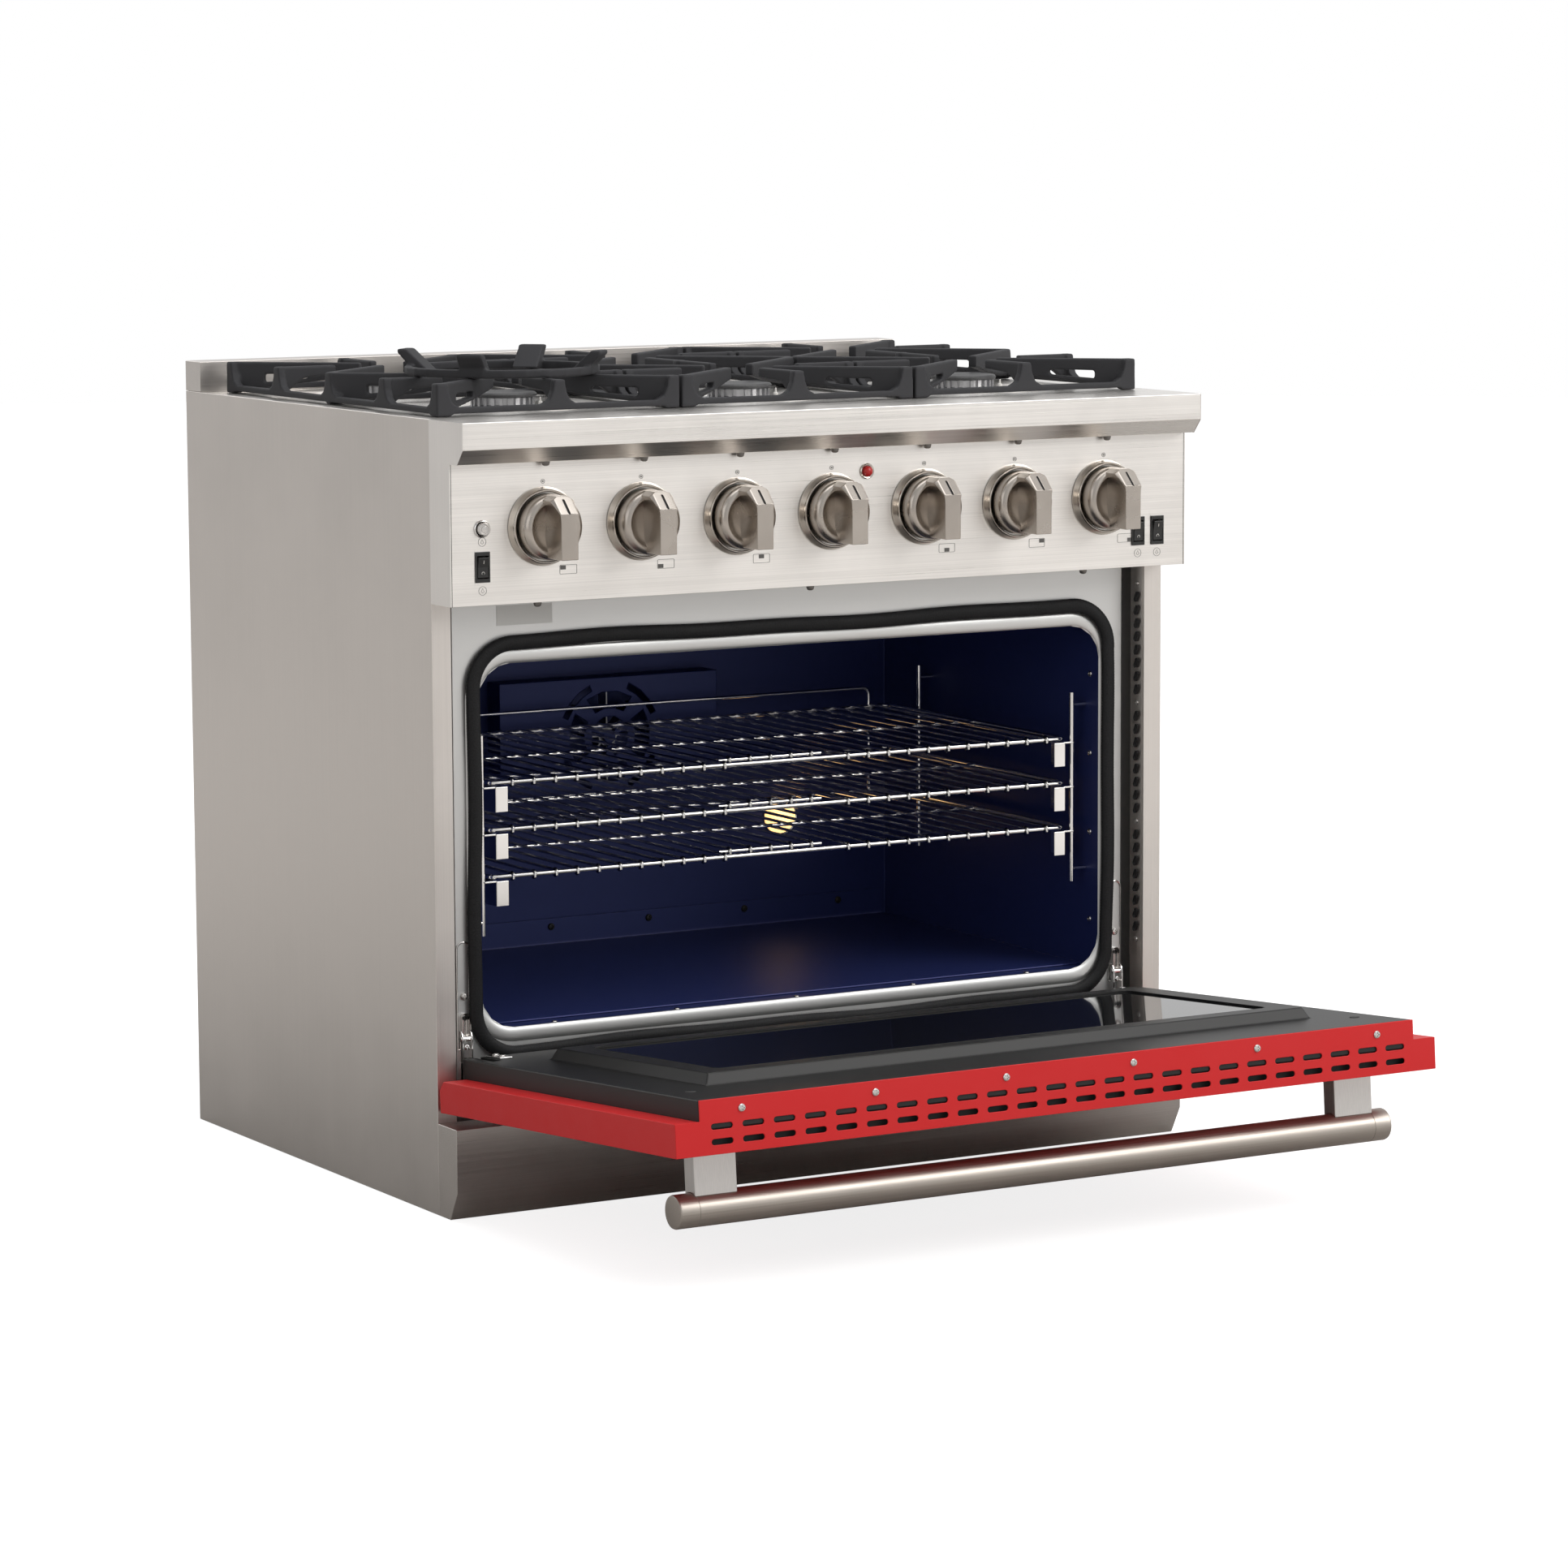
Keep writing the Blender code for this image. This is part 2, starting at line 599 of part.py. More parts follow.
def make_oven_liner():
    """Enamelled box that forms the oven, with holes for the fan shaft and the lamp."""
    shell = box(-CAVITY_HALF - SHEET, CAVITY_HALF + SHEET, CAVITY_FRONT, CAVITY_BACK + SHEET,
                OVEN_FLOOR - SHEET, CEILING + SHEET)
    hollow = box(-CAVITY_HALF, CAVITY_HALF, CAVITY_FRONT - CUT, CAVITY_BACK, OVEN_FLOOR, CEILING)
    shaft, lamp = SHAFT_RADIUS + 0.001, LAMP_RADIUS - 0.003
    holes = [disc(shaft, -CUT, CUT, 12, (0, CAVITY_BACK, FAN_Z), "Y"),
             disc(lamp, -CUT, CUT, 12, (LAMP_ACROSS, CAVITY_BACK, OVEN_FLOOR + LAMP_HEIGHT), "Y")]
    node("oven_liner", cut(cut(shell, hollow), *holes), "blue_enamel")


def make_fan_baffle():
    """Slotted cover in front of the convection fan."""
    face = CAVITY_BACK - BAFFLE_DEPTH
    back = CAVITY_BACK - GAP
    z0, z1 = FAN_Z - BAFFLE_HALF_HEIGHT, FAN_Z + BAFFLE_HALF_HEIGHT
    shell = box(-BAFFLE_HALF, BAFFLE_HALF, face, back, z0, z1)
    hollow = box(SHEET - BAFFLE_HALF, BAFFLE_HALF - SHEET, face + SHEET, back + CUT, z0 + SHEET, z1 - SHEET)
    slots = []
    for inner, outer, count, first, sweep in BAFFLE_ARCS:
        for k in range(count):
            start = first - sweep / 2 + k * 360 / count
            end = start + sweep
            outline = arc((0, FAN_Z), outer, start, end, 3) + arc((0, FAN_Z), inner, end, start, 3)
            slots.append(prism("Y", outline, face - CUT / 2, face + CUT / 2))
    node("fan_baffle", cut(cut(shell, hollow), *slots), "blue_enamel")


def make_fan():
    """Fan wheel on its shaft, and the motor behind the oven that turns it."""
    face = CAVITY_BACK - BAFFLE_DEPTH + SHEET
    near, far = face + 0.004, CAVITY_BACK - 0.005
    motor = CAVITY_BACK + SHEET + 0.004
    shaft_end = motor + 0.012
    profile = [(0, near), (FAN_HUB, near), (FAN_HUB, far), (SHAFT_RADIUS, far)]
    profile += [(SHAFT_RADIUS, shaft_end), (0, shaft_end)]
    hub = turned(profile, 12, (0, 0, FAN_Z), "Y")
    blades = []
    for k in range(FAN_BLADES):
        blade = box(0.008, FAN_RADIUS, near + 0.002, far - 0.002, -0.0008, 0.0008)
        turn = Matrix.Rotation(2 * math.pi * k / FAN_BLADES, 4, "Y")
        blade.transform(Matrix.Translation((0, 0, FAN_Z)) @ turn)
        blades.append(blade)
    node("convection_fan", fused(hub, *blades), "aluminium", origin=(0, near, FAN_Z))
    bore = SHAFT_RADIUS + 0.0005
    end = motor + MOTOR_LENGTH
    profile = [(0, shaft_end + GAP), (bore, shaft_end + GAP), (bore, motor)]
    profile += [(MOTOR_RADIUS, motor), (MOTOR_RADIUS, end), (0, end)]
    node("fan_motor", turned(profile, 16, (0, 0, FAN_Z), "Y"), "galvanised")


def make_oven_lamp():
    """Round lamp let into the oven's back wall."""
    rear = CAVITY_BACK + 0.030
    neck = LAMP_RADIUS - 0.004
    profile = [(0, CAVITY_BACK - 0.014), (0.012, CAVITY_BACK - 0.011), (LAMP_RADIUS, CAVITY_BACK - GAP),
               (neck, CAVITY_BACK - GAP), (neck, rear), (0, rear)]
    node("oven_lamp", turned(profile, 12, (LAMP_ACROSS, 0, OVEN_FLOOR + LAMP_HEIGHT), "Y"), "lamp_glass")


def make_rack_guide(name, side):
    """Ladder of two posts and three runners; a tab hangs at the front of each runner."""
    rail = RACK_RAIL / 2
    inner = RACK_HALF - rail - 0.003
    outer = inner + GUIDE_RUNNER
    post_x = RACK_HALF + rail + 0.0008 + GUIDE_ROD
    fore, aft = RACK_FRONT_Y, RACK_BACK_Y - 0.055
    low, high = RACK_HEIGHTS[0] - GUIDE_BELOW, RACK_HEIGHTS[-1] + GUIDE_ABOVE
    shapes = []
    for y in (fore, aft):
        shapes.append(rod([(side * post_x, y, low), (side * post_x, y, high)], GUIDE_ROD, 6, (1, 0, 0)))
        for z in (low + 0.014, high - 0.014):
            wall = CAVITY_HALF - GAP
            shapes.append(rod([(side * post_x, y, z), (side * wall, y, z)], GUIDE_ROD * 0.8, 6, (0, 1, 0)))
    for height in RACK_HEIGHTS:
        top = height - rail - GAP
        x0, x1 = sorted((side * inner, side * outer))
        shapes.append(box(x0, x1, fore - 0.007, aft + 0.010, top - GUIDE_RUNNER_THICK, top))
        x0, x1 = sorted((side * inner, side * (outer - TAB_WIDTH - 0.009)))
        shapes.append(box(x0, x1, fore - 0.007, fore - 0.005, top - TAB_HEIGHT, top - 0.0002))
        x0, x1 = sorted((side * (inner - 0.0005), side * (inner + 0.006)))
        shapes.append(box(x0, x1, fore - 0.0065, fore - 0.0055, top - TAB_HEIGHT, top - 0.0004))
    node(name, fused(*shapes), "chrome")


def lattice(xs, ys, filled, low, high):
    """A flat grid solid: cells between the x and y lines are solid where filled(x, y) is true."""
    bm = bmesh.new()
    corners = {}

    def corner(i, j, z):
        key = (i, j, z)
        if key not in corners:
            corners[key] = bm.verts.new((xs[i], ys[j], z))
        return corners[key]

    def solid(i, j):
        if not (0 <= i < len(xs) - 1 and 0 <= j < len(ys) - 1):
            return False
        return filled((xs[i] + xs[i + 1]) / 2, (ys[j] + ys[j + 1]) / 2)

    for i in range(len(xs) - 1):
        for j in range(len(ys) - 1):
            if not solid(i, j):
                continue
            loop = [(i, j), (i + 1, j), (i + 1, j + 1), (i, j + 1)]
            bm.faces.new([corner(*c, high) for c in loop])
            bm.faces.new([corner(*c, low) for c in reversed(loop)])
            beside = [(i, j - 1), (i + 1, j), (i, j + 1), (i - 1, j)]
            for k in range(4):
                if not solid(*beside[k]):
                    a, b = loop[k], loop[(k + 1) % 4]
                    bm.faces.new([corner(*a, low), corner(*b, low), corner(*b, high), corner(*a, high)])
    return finish(bm)


def make_rack(name, height):
    """Wire shelf: a frame, wires front to back, a finger gap at the front and an upstand at the rear."""
    rail, wire = RACK_RAIL / 2, RACK_WIRE / 2
    side = RACK_HALF
    each_side = int((side - RACK_EDGE_CLEAR) / RACK_WIRE_PITCH + 0.5)
    wires = [(k + 0.5) * RACK_WIRE_PITCH for k in range(-each_side, each_side)]
    gap_half = RACK_WIRE_PITCH * 1.25
    front, back = RACK_FRONT_Y, RACK_BACK_Y
    setback = front + RACK_SETBACK
    middle = (front + back) / 2
    xs = [w + s * wire for w in wires for s in (-1, 1)]
    xs += [k * side + s * rail for k in (-1, 1) for s in (-1, 1)]
    xs = sorted(xs + [-gap_half, gap_half])
    ys = sorted([y + s * rail for y in (front, setback, middle, back) for s in (-1, 1)])

    def filled(x, y):
        if not -side - rail < x < side + rail:
            return False
        if min(abs(y - front), abs(y - middle), abs(y - back)) < rail or abs(abs(x) - side) < rail:
            return True
        if abs(y - setback) < rail and abs(x) < gap_half:
            return True
        in_wire = any(abs(x - w) < wire for w in wires)
        return in_wire and not (abs(x) < gap_half and y < setback)

    grid = lattice(xs, ys, filled, height - rail, height + rail)
    reach = side - 0.029
    top = height + RACK_UPSTAND
    upper = box(-reach, reach, back - wire, back + wire, top - RACK_WIRE, top)
    thin = wire * 0.9
    legs = [box(x - wire, x + wire, back - thin, back + thin, height, top - wire)
            for x in (wire * 1.2 - reach, reach - wire * 1.2)]
    node(name, fused(grid, upper, *legs), "chrome", origin=(0, front, height))


# Gas parts

def make_manifold():
    """Gas pipe behind the controls, with a valve for each knob and an inlet through the back."""
    end = BACK + INLET_REACH
    start = -MANIFOLD_X + 0.010
    run = [(start, MANIFOLD_Y), (MANIFOLD_X, MANIFOLD_Y), (MANIFOLD_X, end)]
    pipe = rod([(x, y, MANIFOLD_Z) for x, y in run], MANIFOLD_RADIUS, 8, (0, 0, 1))
    face = PANEL_FACE + VALVE_SETBACK
    valves = [disc(VALVE_RADIUS, face, MANIFOLD_Y, 8, (x, 0, KNOB_Z), "Y") for x in KNOB_XS]
    nut = disc(INLET_RADIUS, end - INLET_NUT, end, 6, (MANIFOLD_X, 0, MANIFOLD_Z), "Y")
    bores = [disc(STEM_RADIUS + FIT, face - CUT, face + VALVE_BORE, 8, (x, 0, KNOB_Z), "Y") for x in KNOB_XS]
    bores.append(disc(INLET_BORE, end - INLET_NUT, end + CUT, 8, (MANIFOLD_X, 0, MANIFOLD_Z), "Y"))
    node("gas_manifold", cut(fused(pipe, nut, *valves), *bores), "brass")


def make_oven_burner():
    """Straight tube burner across the space under the oven floor, on a leg at each end."""
    y, z = (CAVITY_FRONT + CAVITY_BACK) / 2, OVEN_FLOOR - TUBE_DROP
    half = CAVITY_HALF - TUBE_INSET
    tube = rod([(-half, y, z), (half, y, z)], TUBE_RADIUS, 8, (0, 0, 1))
    wide = TUBE_RADIUS * 0.6
    legs = [box(x - wide, x + wide, y - wide, y + wide, SHEET + GAP, z)
            for x in (TUBE_RADIUS * 3 - half, half - TUBE_RADIUS * 3)]
    node("oven_burner", fused(tube, *legs), "galvanised")


def make_burner(name, x, y):
    """Burner head with its cap, seated in the cooktop's dish."""
    seat = GAP - BURNER_DISH_DROP
    cap = GRATE_FOOT + GRATE_HEIGHT - BURNER_CAP_DROP
    neck, skirt = BURNER_HOLE - 0.002, BURNER_CAP + 0.014
    profile = [(0, -BURNER_DEPTH), (neck, -BURNER_DEPTH), (neck, seat), (skirt, seat),
               (skirt - 0.004, seat + 0.005), (BURNER_CAP - 0.004, seat + 0.007),
               (BURNER_CAP - 0.004, cap - 0.006),
               (BURNER_CAP, cap - 0.005), (BURNER_CAP, cap - 0.001), (BURNER_CAP - 0.004, cap), (0, cap)]
    node(name, turned(profile, 12, (x, y, HEIGHT)), "aluminium")


def side_outline(length, posts):
    """Outline of a grate's side: a low rail on end feet, with a flared post at each place in posts."""
    top, rail, foot = GRATE_HEIGHT, GRATE_RAIL, 0.016
    points = [(0, -GRATE_FOOT + GAP), (foot, -GRATE_FOOT + GAP), (foot + 0.004, 0),
              (length - foot - 0.004, 0), (length - foot, -GRATE_FOOT + GAP), (length, -GRATE_FOOT + GAP)]
    for post in reversed(posts):
        half = 0.006
        flare = [(half, top), (half + 0.002, top * 0.62), (half + 0.006, top * 0.34), (half + 0.014, rail)]
        right = [(post + a, b) for a, b in reversed(flare) if post + a < length]
        left = [(post - a, b) for a, b in flare if post - a > 0]
        if post + half >= length:
            right = [(length, top)]
        if post - half <= 0:
            left = [(0, top)]
        points += right + left
    return points


def finger(start, direction, reach, slotted):
    """A web from a post towards a burner, tapering to its tip; the long ones have a slot through them."""
    top, tip = GRATE_HEIGHT - 0.0001, GRATE_HEIGHT - 0.013
    outline = [(0, 0.001), (0.010, GRATE_RAIL), (0.017, 0.012), (0.028, tip)]
    outline += [(reach, tip + 0.003), (reach, top), (0, top)]
    if slotted:
        outline = [(0, 0.001), (0.022, 0.002), (reach * 0.62, 0.010), (reach, tip), (reach, top), (0, top)]
    width = GRATE_BAR / 2
    web = prism("Y", outline, -width, width)
    if slotted:
        far = reach * 0.58
        slot = [(0.038, 0.0095), (far, 0.0135), (far + 0.004, 0.0165), (far, 0.0195), (0.038, 0.0185)]
        web = cut(web, prism("Y", slot, -CUT, CUT))
    angle = math.atan2(direction[1], direction[0])
    web.transform(Matrix.Translation((*start, GRATE_BASE)) @ Matrix.Rotation(angle, 4, "Z"))
    return web


def make_grate(name, centre):
    """Cast grate over a front and a rear burner: low rails, flared posts and fingers."""
    x0, x1 = centre - GRATE_WIDTH / 2, centre + GRATE_WIDTH / 2
    y0, y1 = GRATE_FRONT, GRATE_BACK
    bar, corner = GRATE_BAR, 0.007
    mid = (y0 + y1) / 2
    long_posts = [corner] + [GRATE_LENGTH * k / 4 for k in (1, 2, 3)] + [GRATE_LENGTH - corner]
    short_posts = [corner, GRATE_WIDTH / 2, GRATE_WIDTH - corner]
    shapes = []
    for x in (x0, x1 - bar):
        long_side = prism("X", side_outline(GRATE_LENGTH, long_posts), x, x + bar)
        long_side.transform(Matrix.Translation((0, y0, GRATE_BASE)))
        shapes.append(long_side)
    for y in (y0, mid - bar / 2, y1 - bar):
        short_side = prism("Y", side_outline(GRATE_WIDTH, short_posts), y, y + bar)
        short_side.transform(Matrix.Translation((x0, 0, GRATE_BASE)))
        shapes.append(short_side)
    inset = bar * 0.6
    half_cell = GRATE_LENGTH / 4 - inset
    for burner_y in BURNER_YS.values():
        for x in (x0 + inset, x1 - inset):
            for y in (burner_y - half_cell, burner_y + half_cell):
                shapes.append(finger((x, y), (centre - x, burner_y - y), DIAGONAL_REACH, True))
            shapes.append(finger((x, burner_y), (centre - x, 0), SIDE_REACH, False))
    shapes.append(finger((centre, y0 + inset), (0, 1), END_REACH, False))
    shapes.append(finger((centre, y1 - inset), (0, -1), END_REACH, False))
    for sy in (-1, 1):
        shapes.append(finger((centre, mid), (0, sy), END_REACH, False))
    node(name, fused(*shapes), "cast_iron", origin=(centre, mid, GRATE_BASE))


def make_wok_ring():
    """Ring with four sloping prongs that stands on the left front burner's fingers."""
    x, y = GRATE_XS["left"], BURNER_YS["front"]
    base = GRATE_TOP + GAP
    inner = WOK_RADIUS - WOK_BAND
    rim = base + WOK_THICK
    ring = turned([(inner, base), (WOK_RADIUS, base), (WOK_RADIUS, rim), (inner, rim)], 28, (x, y, 0))
    prongs = []
    for k in range(4):
        top = WOK_THICK + WOK_RISE
        outline = [(inner - 0.020, 0.0015), (inner - 0.002, 0.0015), (WOK_RADIUS + 0.009, top - 0.004),
                   (WOK_RADIUS + 0.009, top), (WOK_RADIUS - 0.001, top)]
        prong = prism("Y", outline, -WOK_PRONG / 2, WOK_PRONG / 2)
        turn = Matrix.Rotation(math.radians(WOK_TURN + 90 * k), 4, "Z")
        prong.transform(Matrix.Translation((x, y, base)) @ turn)
        prongs.append(prong)
    node("wok_ring", fused(ring, *prongs), "cast_iron", origin=(x, y, base))


# Controls

def make_knob(number, x):
    """Knob with a waisted grip, bored for its stem, and the valve stem that carries it."""
    back = PANEL_FACE - KNOB_STANDOFF
    skirt = PANEL_FACE - KNOB_SKIRT_REACH
    tip = PANEL_FACE - KNOB_REACH
    profile = [(0, back), (KNOB_SKIRT - 0.002, back), (KNOB_SKIRT, back - 0.001)]
    profile += [(KNOB_SKIRT - 0.001, skirt + 0.003), (KNOB_SKIRT - 0.004, skirt), (0, skirt - 0.002)]
    body = turned(profile, 16, (x, 0, KNOB_Z), "Y")
    wide, waist, tall = KNOB_GRIP_WIDTH / 2, KNOB_GRIP_WIDTH / 2 - 0.001, KNOB_GRIP_HEIGHT / 2
    edge = [(wide, -tall), (waist, -tall * 0.2), (waist, tall * 0.3), (wide + 0.004, tall)]
    outline = edge + [(-a, b) for a, b in reversed(edge)]
    grip = prism("Y", [(x + a, KNOB_Z + b) for a, b in outline], tip, skirt + 0.008)
    bend, foot, over = KNOB_Z + tall * 0.53, KNOB_Z + tall * 1.02, KNOB_Z + tall + CUT
    set_back = tip + KNOB_SLOPE
    slope = [(tip - CUT, bend), (tip - 0.0005, bend), (set_back, foot), (set_back, over), (tip - CUT, over)]
    grip = cut(grip, prism("X", slope, x - CUT, x + CUT))
    deep = back - KNOB_BORE
    hole = disc(STEM_RADIUS + GAP, deep, back + CUT, 12, (x, 0, KNOB_Z), "Y")
    node(f"knob_{number}", cut(fused(body, grip), hole), "brushed_steel", origin=(x, back, KNOB_Z))
    inside = PANEL_FACE + VALVE_SETBACK + VALVE_BORE - STEM_TRAVEL - 2 * GAP
    stem = disc(STEM_RADIUS, deep + GAP, inside, 12, (x, 0, KNOB_Z), "Y")
    node(f"valve_stem_{number}", stem, "brass", origin=(x, inside, KNOB_Z))


def make_switch(name, x):
    """Rocker that tilts about a pin behind the panel's face."""
    wide, tall, deep = SWITCH_WIDTH / 2, SWITCH_HEIGHT / 2, SWITCH_DEPTH
    rise = tall * math.tan(math.radians(SWITCH_TILT))
    proud = 0.002
    outline = [(-proud - rise, tall), (-proud, 0), (-proud - rise, -tall), (-proud + 0.003, -tall),
               (deep - 0.004, -tall * 0.45), (deep - 0.004, tall * 0.45), (-proud + 0.003, tall)]
    rocker = prism("X", [(y, z * 0.97) for y, z in outline], -wide, wide)
    rocker.transform(Matrix.Rotation(math.radians(SWITCH_TILT), 4, "X"))
    rocker.transform(Matrix.Translation((x, PANEL_FACE, SWITCH_Z)))
    node(name, rocker, "black_plastic", origin=(x, PANEL_FACE, SWITCH_Z))


def make_push_button():
    """Round push button beside the left knob."""
    z = PANEL_TOP - BUTTON_DROP
    soft = 0.001
    profile = [(0, -BUTTON_PROUD), (BUTTON_RADIUS - soft, -BUTTON_PROUD), (BUTTON_RADIUS, soft - BUTTON_PROUD)]
    profile += [(BUTTON_RADIUS, BUTTON_BEHIND), (0, BUTTON_BEHIND)]
    place = (SWITCH_XS["left"], PANEL_FACE, z)
    node("push_button", turned(profile, 12, place, "Y"), "chrome", origin=place)


def make_indicator():
    """Indicator lamp with a domed lens, pushed through the panel."""
    z = PANEL_TOP - LAMP_LENS_DROP
    neck = LAMP_LENS_NECK
    profile = [(0, -0.007), (neck - 0.002, -0.0055), (neck, -0.003), (LAMP_LENS_RADIUS, -0.002)]
    profile += [(LAMP_LENS_RADIUS, -GAP), (neck, -GAP), (neck, BUTTON_BEHIND), (0, BUTTON_BEHIND)]
    node("indicator_lamp", turned(profile, 12, (LAMP_LENS_ACROSS, PANEL_FACE, z), "Y"), "red_lens")


# Door, modelled shut

def hinge_notches():
    """Cutters that let the hinge arms into the door's lower edge."""
    width = HINGE_PLATE / 2 + 0.002
    return [box(s * HINGE_X - width, s * HINGE_X + width, DOOR_OUTER + SHEET + 0.002, DOOR_INNER + CUT,
                DOOR_BOTTOM - CUT, DOOR_BOTTOM + HINGE_NOTCH) for s in (-1, 1)]


def window(margin):
    """Half width, bottom and top of the door's window opening, grown by a margin."""
    half = LINER_HALF - RIM_MARGIN - WINDOW_MARGIN + margin
    low = DOOR_BOTTOM + RIM_BELOW + WINDOW_MARGIN - margin
    return half, low, DOOR_TOP - RIM_ABOVE - WINDOW_MARGIN + margin


def make_door_skin(hinge):
    """Painted outer shell: face, stepped sides, top flange and a window opening."""
    step = DOOR_INNER - DOOR_SIDE_STEP
    c = SKIN_CHAMFER
    outline = [(DOOR_OUTER, DOOR_BOTTOM), (step - c, DOOR_BOTTOM), (step, DOOR_BOTTOM + c)]
    outline += [(step, DOOR_TOP), (DOOR_OUTER, DOOR_TOP)]
    face, back, floor, top = DOOR_OUTER + SHEET, step - SHEET, DOOR_BOTTOM + SHEET, DOOR_TOP - SHEET
    inner = [(face, floor), (step - c - SHEET / 2, floor), (back, DOOR_BOTTOM + c + SHEET / 2)]
    inner += [(back, top), (face, top)]
    shell = cut(prism("X", outline, -HALF, HALF), prism("X", inner, SHEET - HALF, HALF - SHEET))
    opening = LINER_HALF + GAP
    throat = box(-opening, opening, face + 0.004, DOOR_INNER + CUT, floor, top)
    shell = cut(shell, throat)
    flange = box(-LINER_HALF, LINER_HALF, step - 0.004, DOOR_INNER, DOOR_TOP - SHEET, DOOR_TOP)
    half, low, high = window(-0.012)
    pane = prism("Y", rounded(-half, half, low, high, 0.012, 2), DOOR_OUTER - CUT, DOOR_OUTER + CUT)
    shell = cut(fused(shell, flange), pane)
    node("door_skin", cut(shell, *hinge_notches()), "red_paint", origin=PIVOT, parent=hinge)


def frustum(grow, proud, depth):
    """The liner's raised rim as a block with sloping sides; grow shrinks it for the hollow behind."""
    half = LINER_HALF - RIM_MARGIN + grow
    low, high = DOOR_BOTTOM + RIM_BELOW - grow, DOOR_TOP - RIM_ABOVE + grow
    slope = RIM_SLOPE
    bm = bmesh.new()
    loops = []
    for y, inset in ((DOOR_INNER + depth, 0), (DOOR_INNER, 0), (DOOR_INNER + proud, slope)):
        across, bottom, top = half - inset, low + inset, high - inset
        corners = ((-across, bottom), (across, bottom), (across, top), (-across, top))
        loops.append([bm.verts.new((x, y, z)) for x, z in corners])
    bm.faces.new(loops[0])
    bm.faces.new(list(reversed(loops[-1])))
    for one, other in zip(loops, loops[1:]):
        for k in range(4):
            bm.faces.new((one[k], one[(k + 1) % 4], other[(k + 1) % 4], other[k]))
    return finish(bm)


def make_door_liner(hinge):
    """Enamelled inner pan with a raised rim round the window."""
    low, high = DOOR_BOTTOM + SHEET + GAP, DOOR_TOP - SHEET - GAP
    back = DOOR_INNER - LINER_DEPTH
    block = box(-LINER_HALF, LINER_HALF, back, DOOR_INNER, low, high)
    across = LINER_HALF - SHEET
    room = box(-across, across, back - CUT, DOOR_INNER - SHEET, low + SHEET, high - SHEET)
    pan = fused(block, frustum(0, RIM_HEIGHT, -0.004))
    hollow = fused(room, frustum(-SHEET, RIM_HEIGHT - SHEET, -0.006))
    half, bottom, top = window(0)
    pane = prism("Y", rounded(-half, half, bottom, top, 0.010, 2), back - CUT, DOOR_INNER + CUT)
    pan = cut(cut(cut(pan, hollow), pane), *hinge_notches())
    node("door_liner", pan, "black_enamel", origin=PIVOT, parent=hinge)


def make_door_glass(hinge):
    """Inner pane held behind the rim and outer pane held behind the skin."""
    half, low, high = window(GLASS_LAP)
    near = DOOR_INNER + RIM_HEIGHT - SHEET - GAP
    inner = box(-half, half, near - GLASS, near, low, high)
    node("door_glass_inner", inner, "glass", origin=PIVOT, parent=hinge)
    half, low, high = window(0)
    face = DOOR_OUTER + SHEET + GAP
    outer = box(-half, half, face, face + GLASS, low, high)
    node("door_glass_outer", outer, "glass", origin=PIVOT, parent=hinge)


def make_handle(hinge):
    """Round bar on two square posts."""
    y, z = DOOR_OUTER - HANDLE_REACH, DOOR_TOP - HANDLE_BELOW_TOP
    end, soft = HANDLE_LENGTH / 2, 0.002
    half = [(0, -end), (HANDLE_RADIUS - soft, -end), (HANDLE_RADIUS, soft - end)]
    profile = half + [(radius, -x) for radius, x in reversed(half)]
    node("handle_bar", turned(profile, 24, (0, y, z), "X"), "brushed_steel", origin=PIVOT, parent=hinge)
    wide, deep = POST_WIDTH / 2, POST_DEPTH / 2
    for name, side in (("handle_post_left", -1), ("handle_post_right", 1)):
        x = side * (end - POST_INSET)
        post = box(x - wide, x + wide, y, DOOR_OUTER - GAP, z - deep, z + deep)
        saddle = disc(HANDLE_RADIUS + GAP, -wide - CUT, wide + CUT, 24, (x, y, z), "X")
        node(name, cut(post, saddle), "brushed_steel", origin=PIVOT, parent=hinge)


def make_hinge_arm(name, side):
    """Arm fixed through the face frame that carries the door's pivot and its stop claw."""
    y, z = PIVOT.y, PIVOT.z
    deep, claw = FRAME_FACE + HINGE_BEHIND, z + HINGE_CLAW
    outline = arc((y, z), HINGE_EYE, 90, 270, 5) + [(deep, z - HINGE_EYE + 0.002), (deep, claw)]
    outline += [(FRAME_FACE - 0.006, claw), (FRAME_FACE - 0.016, claw - 0.008), (y + 0.010, z + 0.014)]
    x = side * HINGE_X
    node(name, prism("X", outline, x - HINGE_PLATE / 2, x + HINGE_PLATE / 2), "chrome")


def make_door():
    """The door's pieces, hung from an empty on the hinge pin that holds the door open."""
    hinge = bpy.data.objects.new("door_hinge", None)
    bpy.context.scene.collection.objects.link(hinge)
    hinge.location = PIVOT
    hinge.rotation_euler = (math.radians(DOOR_OPEN), 0, 0)
    make_door_skin(hinge)
    make_door_liner(hinge)
    make_door_glass(hinge)
    make_handle(hinge)


